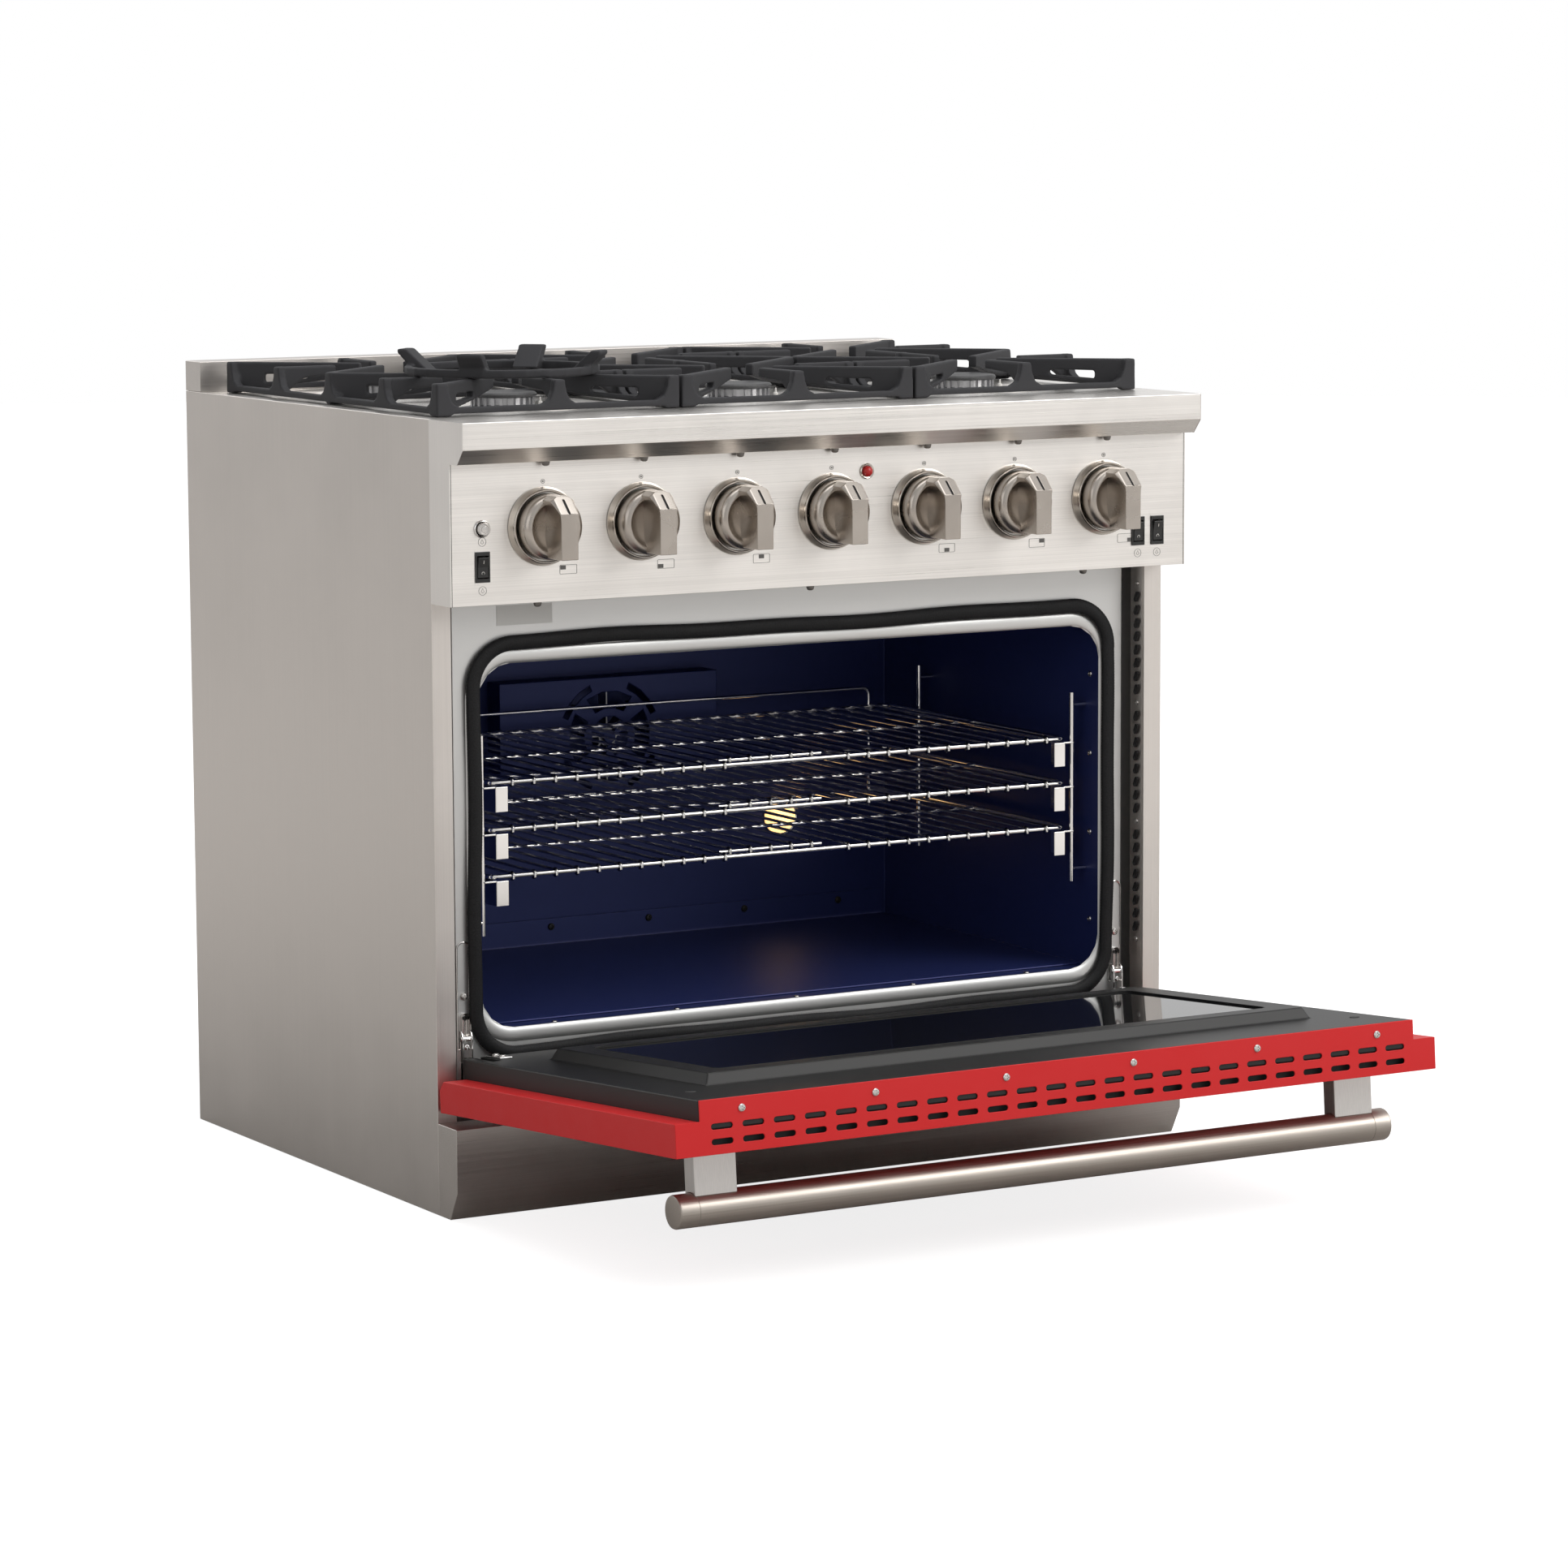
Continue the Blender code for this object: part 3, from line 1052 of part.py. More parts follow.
def main():
    clear_scene()
    make_materials()
    make_base_pan()
    make_side_panel("side_panel_left", -1)
    make_side_panel("side_panel_right", 1)
    make_back_panel()
    make_rear_trim()
    make_cooktop()
    make_control_panel()
    make_kick_panel()
    make_face_frame()
    make_gasket()
    make_oven_liner()
    make_fan_baffle()
    make_fan()
    make_oven_lamp()
    make_rack_guide("rack_guide_left", -1)
    make_rack_guide("rack_guide_right", 1)
    for name, height in zip(("rack_bottom", "rack_middle", "rack_top"), RACK_HEIGHTS):
        make_rack(name, height)
    make_manifold()
    make_oven_burner()
    for name, x, y in burner_spots():
        make_burner(f"burner_{name}", x, y)
    for side, x in GRATE_XS.items():
        make_grate(f"grate_{side}", x)
    make_wok_ring()
    for number, x in enumerate(KNOB_XS, 1):
        make_knob(number, x)
    for side, x in SWITCH_XS.items():
        make_switch(f"rocker_switch_{side}", x)
    make_push_button()
    make_indicator()
    make_door()
    for name, side in (("hinge_arm_left", -1), ("hinge_arm_right", 1)):
        make_hinge_arm(name, side)


main()
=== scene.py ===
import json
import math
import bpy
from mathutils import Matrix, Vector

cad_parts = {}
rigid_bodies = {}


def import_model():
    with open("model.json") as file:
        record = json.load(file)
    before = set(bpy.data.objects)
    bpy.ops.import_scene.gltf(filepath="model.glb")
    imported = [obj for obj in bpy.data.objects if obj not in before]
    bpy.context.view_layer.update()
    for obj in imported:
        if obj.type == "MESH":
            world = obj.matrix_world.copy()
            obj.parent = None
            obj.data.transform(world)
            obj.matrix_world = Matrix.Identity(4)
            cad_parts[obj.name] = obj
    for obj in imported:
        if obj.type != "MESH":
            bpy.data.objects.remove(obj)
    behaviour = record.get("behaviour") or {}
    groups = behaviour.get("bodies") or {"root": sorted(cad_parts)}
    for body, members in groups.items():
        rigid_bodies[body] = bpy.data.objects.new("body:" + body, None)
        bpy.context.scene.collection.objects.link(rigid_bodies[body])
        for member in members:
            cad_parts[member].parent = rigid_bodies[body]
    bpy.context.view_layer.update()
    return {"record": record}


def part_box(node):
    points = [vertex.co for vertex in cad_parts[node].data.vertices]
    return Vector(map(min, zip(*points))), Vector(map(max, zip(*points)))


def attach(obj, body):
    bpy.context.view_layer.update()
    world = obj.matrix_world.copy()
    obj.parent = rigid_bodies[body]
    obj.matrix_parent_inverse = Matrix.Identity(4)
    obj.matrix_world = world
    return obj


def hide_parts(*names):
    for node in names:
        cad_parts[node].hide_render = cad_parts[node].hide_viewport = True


bl_info = {
    "name": "Gas range",
    "version": (1, 0, 0),
    "blender": (4, 5, 0),
    "location": "View3D > Sidebar > Gas range",
    "description": "Surfaces, fittings and finishes of a freestanding gas range, built round its fixed frame",
    "category": "Object",
}

import bpy
from mathutils import Matrix, Vector

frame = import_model()

JOINTS = {joint["name"]: joint for joint in frame["record"]["behaviour"]["joints"]}
PIVOT = Vector(JOINTS["door_hinge"]["pos_m"])
DOOR_OPEN = math.radians(-JOINTS["door_hinge"]["range_deg"][0])
SWING = Matrix.Translation(PIVOT) @ Matrix.Rotation(DOOR_OPEN, 4, "X") @ Matrix.Translation(-PIVOT)
SHUT = SWING.inverted()

# Places read from the frame
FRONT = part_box("side_panel_left")[0].y
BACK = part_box("side_panel_left")[1].y
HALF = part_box("side_panel_right")[1].x
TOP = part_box("side_panel_left")[1].z
PANEL_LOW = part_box("control_panel")[0].z
PANEL_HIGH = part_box("control_panel")[1].z
FRAME_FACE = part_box("face_frame")[0].y
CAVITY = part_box("oven_liner")
SHEET = 0.0015
CAVITY_HALF = CAVITY[1].x - SHEET
CAVITY_BACK = CAVITY[1].y - SHEET
CAVITY_FLOOR = CAVITY[0].z + SHEET
CAVITY_TOP = CAVITY[1].z - SHEET
MOUTH_HALF = CAVITY_HALF - 0.0015
MOUTH_LOW = CAVITY_FLOOR + 0.001
MOUTH_HIGH = CAVITY_TOP - 0.002
KNOB_PLACES = [Vector(JOINTS[f"knob_{k}_turn"]["pos_m"]) for k in range(1, 8)]
KNOB_GAP = 0.005
PANEL_FACE = KNOB_PLACES[0].y + KNOB_GAP
RACK_RAIL = 0.0028
# Direction of the knob grip's sloping top: back and up
SLOPE_BACK, SLOPE_UP = 0.719, 0.695
# Widths are drawn in by this share where an end cap lies over a piece
CAP_ROOM = 0.9996
SIDES = {"left": -1, "right": 1}


class RangeSizes(bpy.types.PropertyGroup):
    """Sizes of the fittings that someone might change."""
    knob_waist: bpy.props.FloatProperty(name="Knob waist", description="Half width of the grip's front",
                                        default=0.0098, unit="LENGTH")
    sheet_edge: bpy.props.FloatProperty(name="Sheet edge", description="Rounding of the steel sheets' folds",
                                        default=0.0006, unit="LENGTH")
    casting_voxel: bpy.props.FloatProperty(name="Casting detail",
                                           description="Grid that the castings are rounded on",
                                           default=0.0014, unit="LENGTH")
    rack_wire: bpy.props.FloatProperty(name="Rack wire", description="Radius of the racks' thin wires",
                                       default=0.0018, unit="LENGTH")
    rack_pitch: bpy.props.FloatProperty(name="Rack pitch", description="Distance between the racks' wires",
                                        default=0.026, unit="LENGTH")


class RangeColours(bpy.types.PropertyGroup):
    """Colours of the finishes."""
    front_steel: bpy.props.FloatVectorProperty(name="Front steel",
                                               description="Brushed steel of the front and top",
                                               default=(0.90, 0.87, 0.835), subtype="COLOR")
    # The sides' steel is set darker than the front's as painted shade on faces turned from the light.
    side_steel_painted_shade: bpy.props.FloatVectorProperty(name="Side steel", description="Brushed steel of the sides",
                                              default=(0.72, 0.68, 0.645), subtype="COLOR")
    nickel: bpy.props.FloatVectorProperty(name="Nickel", description="Satin nickel of the knobs and handle",
                                          default=(0.50, 0.455, 0.41), subtype="COLOR")
    door: bpy.props.FloatVectorProperty(name="Door", description="Paint of the door's outer shell",
                                        default=(0.62, 0.014, 0.016), subtype="COLOR")
    enamel: bpy.props.FloatVectorProperty(name="Oven enamel", description="Enamel of the oven's walls",
                                          default=(0.0028, 0.0034, 0.034), subtype="COLOR")
    iron: bpy.props.FloatVectorProperty(name="Cast iron", description="Coated cast iron of the grates",
                                        default=(0.082, 0.083, 0.088), subtype="COLOR")


def sizes():
    return bpy.context.scene.gas_range_sizes


def colours():
    return bpy.context.scene.gas_range_colours


# Node groups, each placed in several materials

def new_group(name, inputs, outputs):
    """An empty shader group with named sockets, and its input and output nodes."""
    group = bpy.data.node_groups.new(name, "ShaderNodeTree")
    for label, kind, value in inputs:
        socket = group.interface.new_socket(name=label, in_out="INPUT", socket_type=kind)
        if value is not None:
            socket.default_value = value
    for label, kind in outputs:
        group.interface.new_socket(name=label, in_out="OUTPUT", socket_type=kind)
    return group, group.nodes.new("NodeGroupInput"), group.nodes.new("NodeGroupOutput")


def add_noise(tree, vector, scale, detail=3.0, roughness=0.5):
    """A noise texture; scale is a number or a socket."""
    node = tree.nodes.new("ShaderNodeTexNoise")
    node.inputs["Detail"].default_value = detail
    node.inputs["Roughness"].default_value = roughness
    if isinstance(scale, (int, float)):
        node.inputs["Scale"].default_value = scale
    else:
        tree.links.new(scale, node.inputs["Scale"])
    tree.links.new(vector, node.inputs["Vector"])
    return node.outputs["Fac"]


def add_range(tree, value, low, high, to_low, to_high):
    """A value mapped from one range to another; the target range may be sockets."""
    node = tree.nodes.new("ShaderNodeMapRange")
    tree.links.new(value, node.inputs["Value"])
    for label, number in (("From Min", low), ("From Max", high), ("To Min", to_low), ("To Max", to_high)):
        if isinstance(number, (int, float)):
            node.inputs[label].default_value = number
        else:
            tree.links.new(number, node.inputs[label])
    return node.outputs["Result"]


def add_math(tree, operation, first, second):
    """Two values joined by a math operation."""
    node = tree.nodes.new("ShaderNodeMath")
    node.operation = operation
    for socket, value in zip(node.inputs, (first, second)):
        if isinstance(value, (int, float)):
            socket.default_value = value
        else:
            tree.links.new(value, socket)
    return node.outputs["Value"]


def add_mix(tree, factor, first, second, blend="MIX"):
    """Two colours mixed by a factor."""
    node = tree.nodes.new("ShaderNodeMix")
    node.data_type = "RGBA"
    node.blend_type = blend
    for label, value in (("Factor", factor), ("A", first), ("B", second)):
        socket = next(s for s in node.inputs if s.name == label and s.enabled)
        if isinstance(value, (int, float, tuple)):
            socket.default_value = value
        else:
            tree.links.new(value, socket)
    return next(s for s in node.outputs if s.enabled)


def add_scaled(tree, vector, scale):
    """Coordinates stretched by a Mapping node; scale is a triple or a socket."""
    node = tree.nodes.new("ShaderNodeMapping")
    tree.links.new(vector, node.inputs["Vector"])
    if isinstance(scale, tuple):
        node.inputs["Scale"].default_value = scale
    else:
        tree.links.new(scale, node.inputs["Scale"])
    return node.outputs["Vector"]


def build_brushed_group():
    """Fine streaks along one way of the sheet, with slow cloudy smudges over them."""
    group, start, end = new_group(
        "brushed_grain",
        [("Vector", "NodeSocketVector", None), ("Stretch", "NodeSocketVector", (4, 900, 900)),
         ("Colour", "NodeSocketColor", (0.7, 0.7, 0.7, 1)), ("Streaks", "NodeSocketFloat", 0.1),
         ("Roughness", "NodeSocketFloat", 0.3)],
        [("Colour", "NodeSocketColor"), ("Roughness", "NodeSocketFloat"), ("Height", "NodeSocketFloat")])
    streak = add_noise(group, add_scaled(group, start.outputs["Vector"], start.outputs["Stretch"]), 1.0, 2.0)
    cloud = add_noise(group, start.outputs["Vector"], 7.0, 4.0, 0.6)
    dark = add_math(group, "SUBTRACT", 1.0, start.outputs["Streaks"])
    shade = add_range(group, streak, 0.3, 0.7, dark, 1.0)
    shade = add_math(group, "MULTIPLY", shade, add_range(group, cloud, 0.3, 0.7, 0.96, 1.02))
    grey = group.nodes.new("ShaderNodeCombineColor")
    for channel in grey.inputs[:3]:
        group.links.new(shade, channel)
    colour = add_mix(group, 1.0, start.outputs["Colour"], grey.outputs["Color"], "MULTIPLY")
    group.links.new(colour, end.inputs["Colour"])
    rough = add_math(group, "MULTIPLY", start.outputs["Roughness"],
                     add_range(group, streak, 0.25, 0.75, 0.8, 1.25))
    rough = add_math(group, "MULTIPLY", rough, add_range(group, cloud, 0.3, 0.7, 0.92, 1.12))
    group.links.new(rough, end.inputs["Roughness"])
    group.links.new(streak, end.inputs["Height"])
    return group


def build_cast_group():
    """Sandy casting grain, with rubbed lighter edges."""
    group, start, end = new_group(
        "cast_grain",
        [("Vector", "NodeSocketVector", None), ("Colour", "NodeSocketColor", (0.05, 0.05, 0.06, 1)),
         ("Worn", "NodeSocketColor", (0.2, 0.2, 0.21, 1)), ("Wear", "NodeSocketFloat", 0.6),
         ("Scale", "NodeSocketFloat", 900.0)],
        [("Colour", "NodeSocketColor"), ("Roughness", "NodeSocketFloat"), ("Height", "NodeSocketFloat")])
    grain = add_noise(group, start.outputs["Vector"], start.outputs["Scale"], 3.0, 0.6)
    patch = add_noise(group, start.outputs["Vector"], 35.0, 3.0)
    geometry = group.nodes.new("ShaderNodeNewGeometry")
    edge = add_range(group, geometry.outputs["Pointiness"], 0.505, 0.56, 0.0, 1.0)
    edge = add_math(group, "MULTIPLY", edge, start.outputs["Wear"])
    edge = add_math(group, "MULTIPLY", edge, add_range(group, patch, 0.3, 0.6, 0.5, 1.0))
    speck = add_range(group, grain, 0.35, 0.75, 0.0, 0.35)
    factor = add_math(group, "ADD", edge, speck)
    group.links.new(add_mix(group, factor, start.outputs["Colour"], start.outputs["Worn"]),
                    end.inputs["Colour"])
    group.links.new(add_range(group, patch, 0.3, 0.7, 0.42, 0.58), end.inputs["Roughness"])
    group.links.new(grain, end.inputs["Height"])
    return group


def build_enamel_group():
    """Fired enamel: pale flecks in a deep colour and a faint orange-peel surface."""
    group, start, end = new_group(
        "fired_enamel",
        [("Vector", "NodeSocketVector", None), ("Colour", "NodeSocketColor", (0, 0, 0.1, 1)),
         ("Fleck", "NodeSocketColor", (0.5, 0.5, 0.6, 1)), ("Fleck size", "NodeSocketFloat", 0.12)],
        [("Colour", "NodeSocketColor"), ("Roughness", "NodeSocketFloat"), ("Height", "NodeSocketFloat")])
    cells = group.nodes.new("ShaderNodeTexVoronoi")
    cells.inputs["Scale"].default_value = 160.0
    group.links.new(start.outputs["Vector"], cells.inputs["Vector"])
    near = add_math(group, "LESS_THAN", cells.outputs["Distance"], start.outputs["Fleck size"])
    some = add_math(group, "GREATER_THAN", add_noise(group, start.outputs["Vector"], 60.0, 2.0), 0.52)
    mask = add_math(group, "MULTIPLY", near, some)
    cloud = add_noise(group, start.outputs["Vector"], 9.0, 3.0)
    deep = add_mix(group, add_range(group, cloud, 0.3, 0.7, 0.0, 0.35), start.outputs["Colour"],
                   (0.0, 0.0, 0.02, 1))
    group.links.new(add_mix(group, mask, deep, start.outputs["Fleck"]), end.inputs["Colour"])
    group.links.new(add_range(group, cloud, 0.3, 0.7, 0.02, 0.05), end.inputs["Roughness"])
    group.links.new(add_noise(group, start.outputs["Vector"], 220.0, 2.0), end.inputs["Height"])
    return group


def build_marks_group():
    """Soft handling marks: slow changes of roughness and a fine dust in the colour."""
    group, start, end = new_group(
        "handling_marks",
        [("Vector", "NodeSocketVector", None), ("Colour", "NodeSocketColor", (0.5, 0.5, 0.5, 1)),
         ("Dust", "NodeSocketFloat", 0.05), ("Roughness", "NodeSocketFloat", 0.3),
         ("Grain", "NodeSocketFloat", 500.0)],
        [("Colour", "NodeSocketColor"), ("Roughness", "NodeSocketFloat"), ("Height", "NodeSocketFloat")])
    cloud = add_noise(group, start.outputs["Vector"], 12.0, 5.0, 0.6)
    fine = add_noise(group, start.outputs["Vector"], start.outputs["Grain"], 2.0)
    factor = add_math(group, "MULTIPLY", add_range(group, cloud, 0.35, 0.75, 0.0, 1.0), start.outputs["Dust"])
    group.links.new(add_mix(group, factor, start.outputs["Colour"], (0.6, 0.58, 0.55, 1)),
                    end.inputs["Colour"])
    rough = add_math(group, "MULTIPLY", start.outputs["Roughness"],
                     add_range(group, cloud, 0.3, 0.7, 0.8, 1.3))
    group.links.new(rough, end.inputs["Roughness"])
    group.links.new(fine, end.inputs["Height"])
    return group


def grouped_material(name, group, values, metallic=0.0, bump=0.1, depth=0.0002, **sockets):
    """A Principled material fed by one of the groups; values set the group's own inputs."""
    material = bpy.data.materials.new(name)
    material.use_nodes = True
    tree = material.node_tree
    shader = tree.nodes["Principled BSDF"]
    shader.inputs["Metallic"].default_value = metallic
    for label, value in sockets.items():
        shader.inputs[label.replace("_", " ")].default_value = value
    effect = tree.nodes.new("ShaderNodeGroup")
    effect.node_tree = group
    place = tree.nodes.new("ShaderNodeTexCoord")
    tree.links.new(place.outputs["Object"], effect.inputs["Vector"])
    for label, value in values.items():
        effect.inputs[label].default_value = (*value, 1) if label in ("Colour", "Worn", "Fleck") else value
    tree.links.new(effect.outputs["Colour"], shader.inputs["Base Color"])
    tree.links.new(effect.outputs["Roughness"], shader.inputs["Roughness"])
    relief = tree.nodes.new("ShaderNodeBump")
    relief.inputs["Strength"].default_value = bump
    relief.inputs["Distance"].default_value = depth
    tree.links.new(effect.outputs["Height"], relief.inputs["Height"])
    tree.links.new(relief.outputs["Normal"], shader.inputs["Normal"])
    return material


def build_materials():
    """Every finish on the range, by name."""
    colour = colours()
    brushed, cast = build_brushed_group(), build_cast_group()
    enamel, marks = build_enamel_group(), build_marks_group()
    across, upright = (3, 1400, 1400), (1400, 1400, 3)

    def steel(name, tint, stretch, rough, streaks=0.10, **more):
        values = {"Stretch": stretch, "Colour": tuple(tint), "Streaks": streaks, "Roughness": rough}
        grouped_material(name, brushed, values, 1.0, 0.12, 0.0001, **more)

    def plain(name, tint, rough, metal, dust=0.04, grain=500.0, bump=0.05, **more):
        values = {"Colour": tuple(tint), "Dust": dust, "Roughness": rough, "Grain": grain}
        return grouped_material(name, marks, values, metal, bump, **more)

    steel("front_steel", colour.front_steel, across, 0.34)
    steel("top_steel", colour.front_steel, across, 0.30)
    steel("side_steel_painted_shade", colour.side_steel_painted_shade, upright, 0.40, 0.07)
    steel("frame_steel", (1.0, 0.96, 0.915), across, 0.50, 0.05)
    steel("handle_steel", colour.nickel, across, 0.36, 0.14)
    steel("post_steel", (0.72, 0.70, 0.68), upright, 0.36, 0.10)
    # The trims take the sides' darker colour, so they carry the same painted shade.
    steel("trim_steel", colour.side_steel_painted_shade, across, 0.33)
    steel("cap_steel", (0.88, 0.85, 0.82), upright, 0.36, 0.06)
    plain("knob_nickel", colour.nickel, 0.25, 1.0, 0.05, 900.0, 0.06)
    plain("bezel_nickel", (0.56, 0.52, 0.475), 0.16, 1.0, 0.03, 900.0, 0.03)
    plain("chrome", (0.80, 0.79, 0.78), 0.10, 1.0, 0.02, 700.0, 0.02)
    # A darker copy of the chrome for the rack beads: painted dark reflection of the oven.
    plain("chrome_painted_dark_reflection", (0.30, 0.295, 0.29), 0.16, 1.0, 0.02, 700.0, 0.02)
    plain("bright_screw", (0.66, 0.64, 0.62), 0.22, 1.0, 0.05, 900.0, 0.05)
    plain("dark_screw", (0.16, 0.15, 0.14), 0.28, 1.0, 0.05, 900.0, 0.05)
    # Brighter blue enamel for strips along the oven floor's edges: painted highlights.
    plain("painted_highlight_enamel", (0.09, 0.10, 0.26), 0.20, 0.0, 0.0)
    plain("galvanised", (0.52, 0.53, 0.54), 0.42, 1.0, 0.15, 60.0, 0.05)
    plain("brass", (0.70, 0.50, 0.21), 0.30, 1.0, 0.08, 600.0, 0.05)
    plain("cast_aluminium", (0.085, 0.085, 0.09), 0.55, 1.0, 0.10, 1200.0, 0.25)
    plain("fan_metal", (0.34, 0.34, 0.36), 0.35, 1.0, 0.08)
    plain("door_paint", colour.door, 0.42, 0.0, 0.008, 650.0, 0.04, Specular_IOR_Level=0.3)
    plain("black_plastic", (0.012, 0.012, 0.013), 0.32, 0.0, 0.03, 1100.0, 0.12)
    # Near-black that stands for the shade inside slots, holes, louvres and grooves (painted shade); on the panel
    # seams it is a dark joint.
    plain("painted_recess_shade_and_dark_seam", (0.010, 0.010, 0.011), 0.6, 0.0, 0.05)
    plain("print_grey", (0.10, 0.095, 0.09), 0.5, 0.0, 0.02)
    plain("ceramic", (0.80, 0.78, 0.74), 0.35, 0.0, 0.08)
    plain("blank_label", (0.70, 0.70, 0.68), 0.5, 0.0, 0.10)
    grouped_material("cast_iron", cast, {"Colour": tuple(colour.iron), "Worn": (0.22, 0.225, 0.235),
                                         "Wear": 0.55,
                                         "Scale": 620.0}, 0.40, 0.6, 0.0006)
    grouped_material("burner_cap", cast, {"Colour": (0.022, 0.022, 0.024), "Worn": (0.12, 0.12, 0.12),
                                          "Wear": 0.4, "Scale": 700.0}, 0.0, 0.25, 0.0002)
    grouped_material("blue_enamel", enamel, {"Colour": tuple(colour.enamel), "Fleck": (0.10, 0.11, 0.20),
                                             "Fleck size": 0.09}, 0.0, 0.04, 0.0001)
    grouped_material("black_enamel", enamel, {"Colour": (0.007, 0.0072, 0.0075), "Fleck": (0.03, 0.03, 0.03),
                                              "Fleck size": 0.06}, 0.0, 0.06, 0.0002, Specular_IOR_Level=0.07)
    grouped_material("gasket_braid", cast, {"Colour": (0.0045, 0.0045, 0.005), "Worn": (0.03, 0.03, 0.032),
                                            "Wear": 0.4,
                                            "Scale": 700.0}, 0.0, 0.8, 0.0006, Specular_IOR_Level=0.2)
    glass = plain("oven_glass", (0.020, 0.021, 0.023), 0.04, 0.0, 0.0, 300.0, 0.0, Transmission_Weight=0.55,
                  IOR=1.3)
    glass.node_tree.nodes["Principled BSDF"].inputs["Coat Weight"].default_value = 0.1
    plain("red_lens", (0.42, 0.006, 0.008), 0.10, 0.0, 0.0, 300.0, 0.0, Transmission_Weight=0.25)
    lamp = plain("lamp_glow", (0.95, 0.78, 0.50), 0.3, 0.0, 0.0)
    shader = lamp.node_tree.nodes["Principled BSDF"]
    shader.inputs["Emission Color"].default_value = (1.0, 0.62, 0.25, 1)
    shader.inputs["Emission Strength"].default_value = 1.6


# Modelling helpers

def select_only(*things):
    """Leaves edit mode and selects just these objects; the first one is active."""
    if bpy.context.mode != "OBJECT":
        bpy.ops.object.mode_set(mode="OBJECT")
    bpy.ops.object.select_all(action="DESELECT")
    for thing in things:
        thing.select_set(True)
    bpy.context.view_layer.objects.active = things[0] if things else None


def apply_modifier(piece, kind, **settings):
    """Adds a modifier, sets it and applies it."""
    select_only(piece)
    modifier = piece.modifiers.new("shape", kind)
    for label, value in settings.items():
        setattr(modifier, label, value)
    bpy.ops.object.modifier_apply(modifier=modifier.name)


def round_edges(piece, width, segments=2, angle=30):
    """Rounds the edges that are sharper than an angle and keeps the flats flat."""
    apply_modifier(piece, "BEVEL", width=width, segments=segments, limit_method="ANGLE",
                   angle_limit=math.radians(angle), use_clamp_overlap=False)


def flatten_shading(piece, angle=35):
    """Smooth shading up to an angle, with big faces kept flat."""
    select_only(piece)
    bpy.ops.object.shade_smooth_by_angle(angle=math.radians(angle))
    apply_modifier(piece, "WEIGHTED_NORMAL", keep_sharp=True)


def block(name, low, high, edge=0.0005, segments=2):
    """A cube stretched between two corners, with rounded edges."""
    select_only()
    low, high = Vector(low), Vector(high)
    bpy.ops.mesh.primitive_cube_add(size=1, location=(low + high) / 2)
    piece = bpy.context.object
    piece.name = name
    piece.scale = high - low
    bpy.ops.object.transform_apply(location=True, rotation=True, scale=True)
    if edge:
        round_edges(piece, edge, segments)
    return piece


def lathe(name, profile, centre, axis, steps=48):
    """A closed profile of (radius, along) points spun round an axis through the centre."""
    select_only()
    centre = Vector(centre)
    bpy.ops.mesh.primitive_circle_add(vertices=len(profile), radius=1, location=(0, 0, 0))
    piece = bpy.context.object
    piece.name = name
    turn = Vector((0, 0, 1)).rotation_difference(Vector(axis)).to_matrix()
    side = turn @ Vector((1, 0, 0))
    axis = Vector(axis)
    for vertex, (radius, along) in zip(piece.data.vertices, profile):
        vertex.co = centre + side * radius + axis * along
    bpy.ops.object.mode_set(mode="EDIT")
    bpy.ops.mesh.select_all(action="SELECT")
    bpy.ops.mesh.spin(steps=steps, angle=2 * math.pi, center=centre, axis=axis)
    bpy.ops.mesh.select_all(action="SELECT")
    bpy.ops.mesh.remove_doubles(threshold=0.00002)
    bpy.ops.mesh.dissolve_degenerate(threshold=0.00001)
    bpy.ops.mesh.delete_loose(use_verts=True, use_edges=True, use_faces=False)
    bpy.ops.mesh.select_all(action="SELECT")
    bpy.ops.mesh.normals_make_consistent(inside=False)
    bpy.ops.object.mode_set(mode="OBJECT")
    return piece


def wire(name, points, radius, loop=False, sides=2, ribs=0.0):
    """A round rod along a path, made from a curve with a bevel; ribs thins every other point."""
    select_only()
    bpy.ops.curve.primitive_nurbs_path_add(location=(0, 0, 0))
    piece = bpy.context.object
    piece.name = name
    curve = piece.data
    curve.splines.clear()
    spline = curve.splines.new("POLY")
    spline.points.add(len(points) - 1)
    for k, (point, place) in enumerate(zip(spline.points, points)):
        point.co = (*place, 1)
        point.radius = 1 - ribs * (k % 2)
    spline.use_cyclic_u = loop
    curve.dimensions = "3D"
    curve.bevel_depth = radius
    curve.bevel_resolution = sides
    curve.use_fill_caps = not loop
    bpy.ops.object.convert(target="MESH")
    piece = bpy.context.object
    bpy.ops.object.mode_set(mode="EDIT")
    bpy.ops.mesh.select_all(action="SELECT")
    bpy.ops.mesh.remove_doubles(threshold=0.00002)
    bpy.ops.mesh.normals_make_consistent(inside=False)
    bpy.ops.object.mode_set(mode="OBJECT")
    return piece


def copy_of(node, name):
    """A frame node's mesh as a new piece, with its loose triangles merged into flat faces."""
    piece = bpy.data.objects.new(name, bpy.data.objects[node].data.copy())
    bpy.context.scene.collection.objects.link(piece)
    select_only(piece)
    bpy.ops.object.mode_set(mode="EDIT")
    bpy.ops.mesh.select_all(action="SELECT")
    bpy.ops.mesh.remove_doubles(threshold=0.00001)
    bpy.ops.mesh.dissolve_limited(angle_limit=math.radians(0.5))
    bpy.ops.object.mode_set(mode="OBJECT")
    return piece


def joined(name, pieces):
    """Several pieces made one."""
    select_only(*pieces)
    bpy.ops.object.join()
    piece = bpy.context.object
    piece.name = name
    return piece


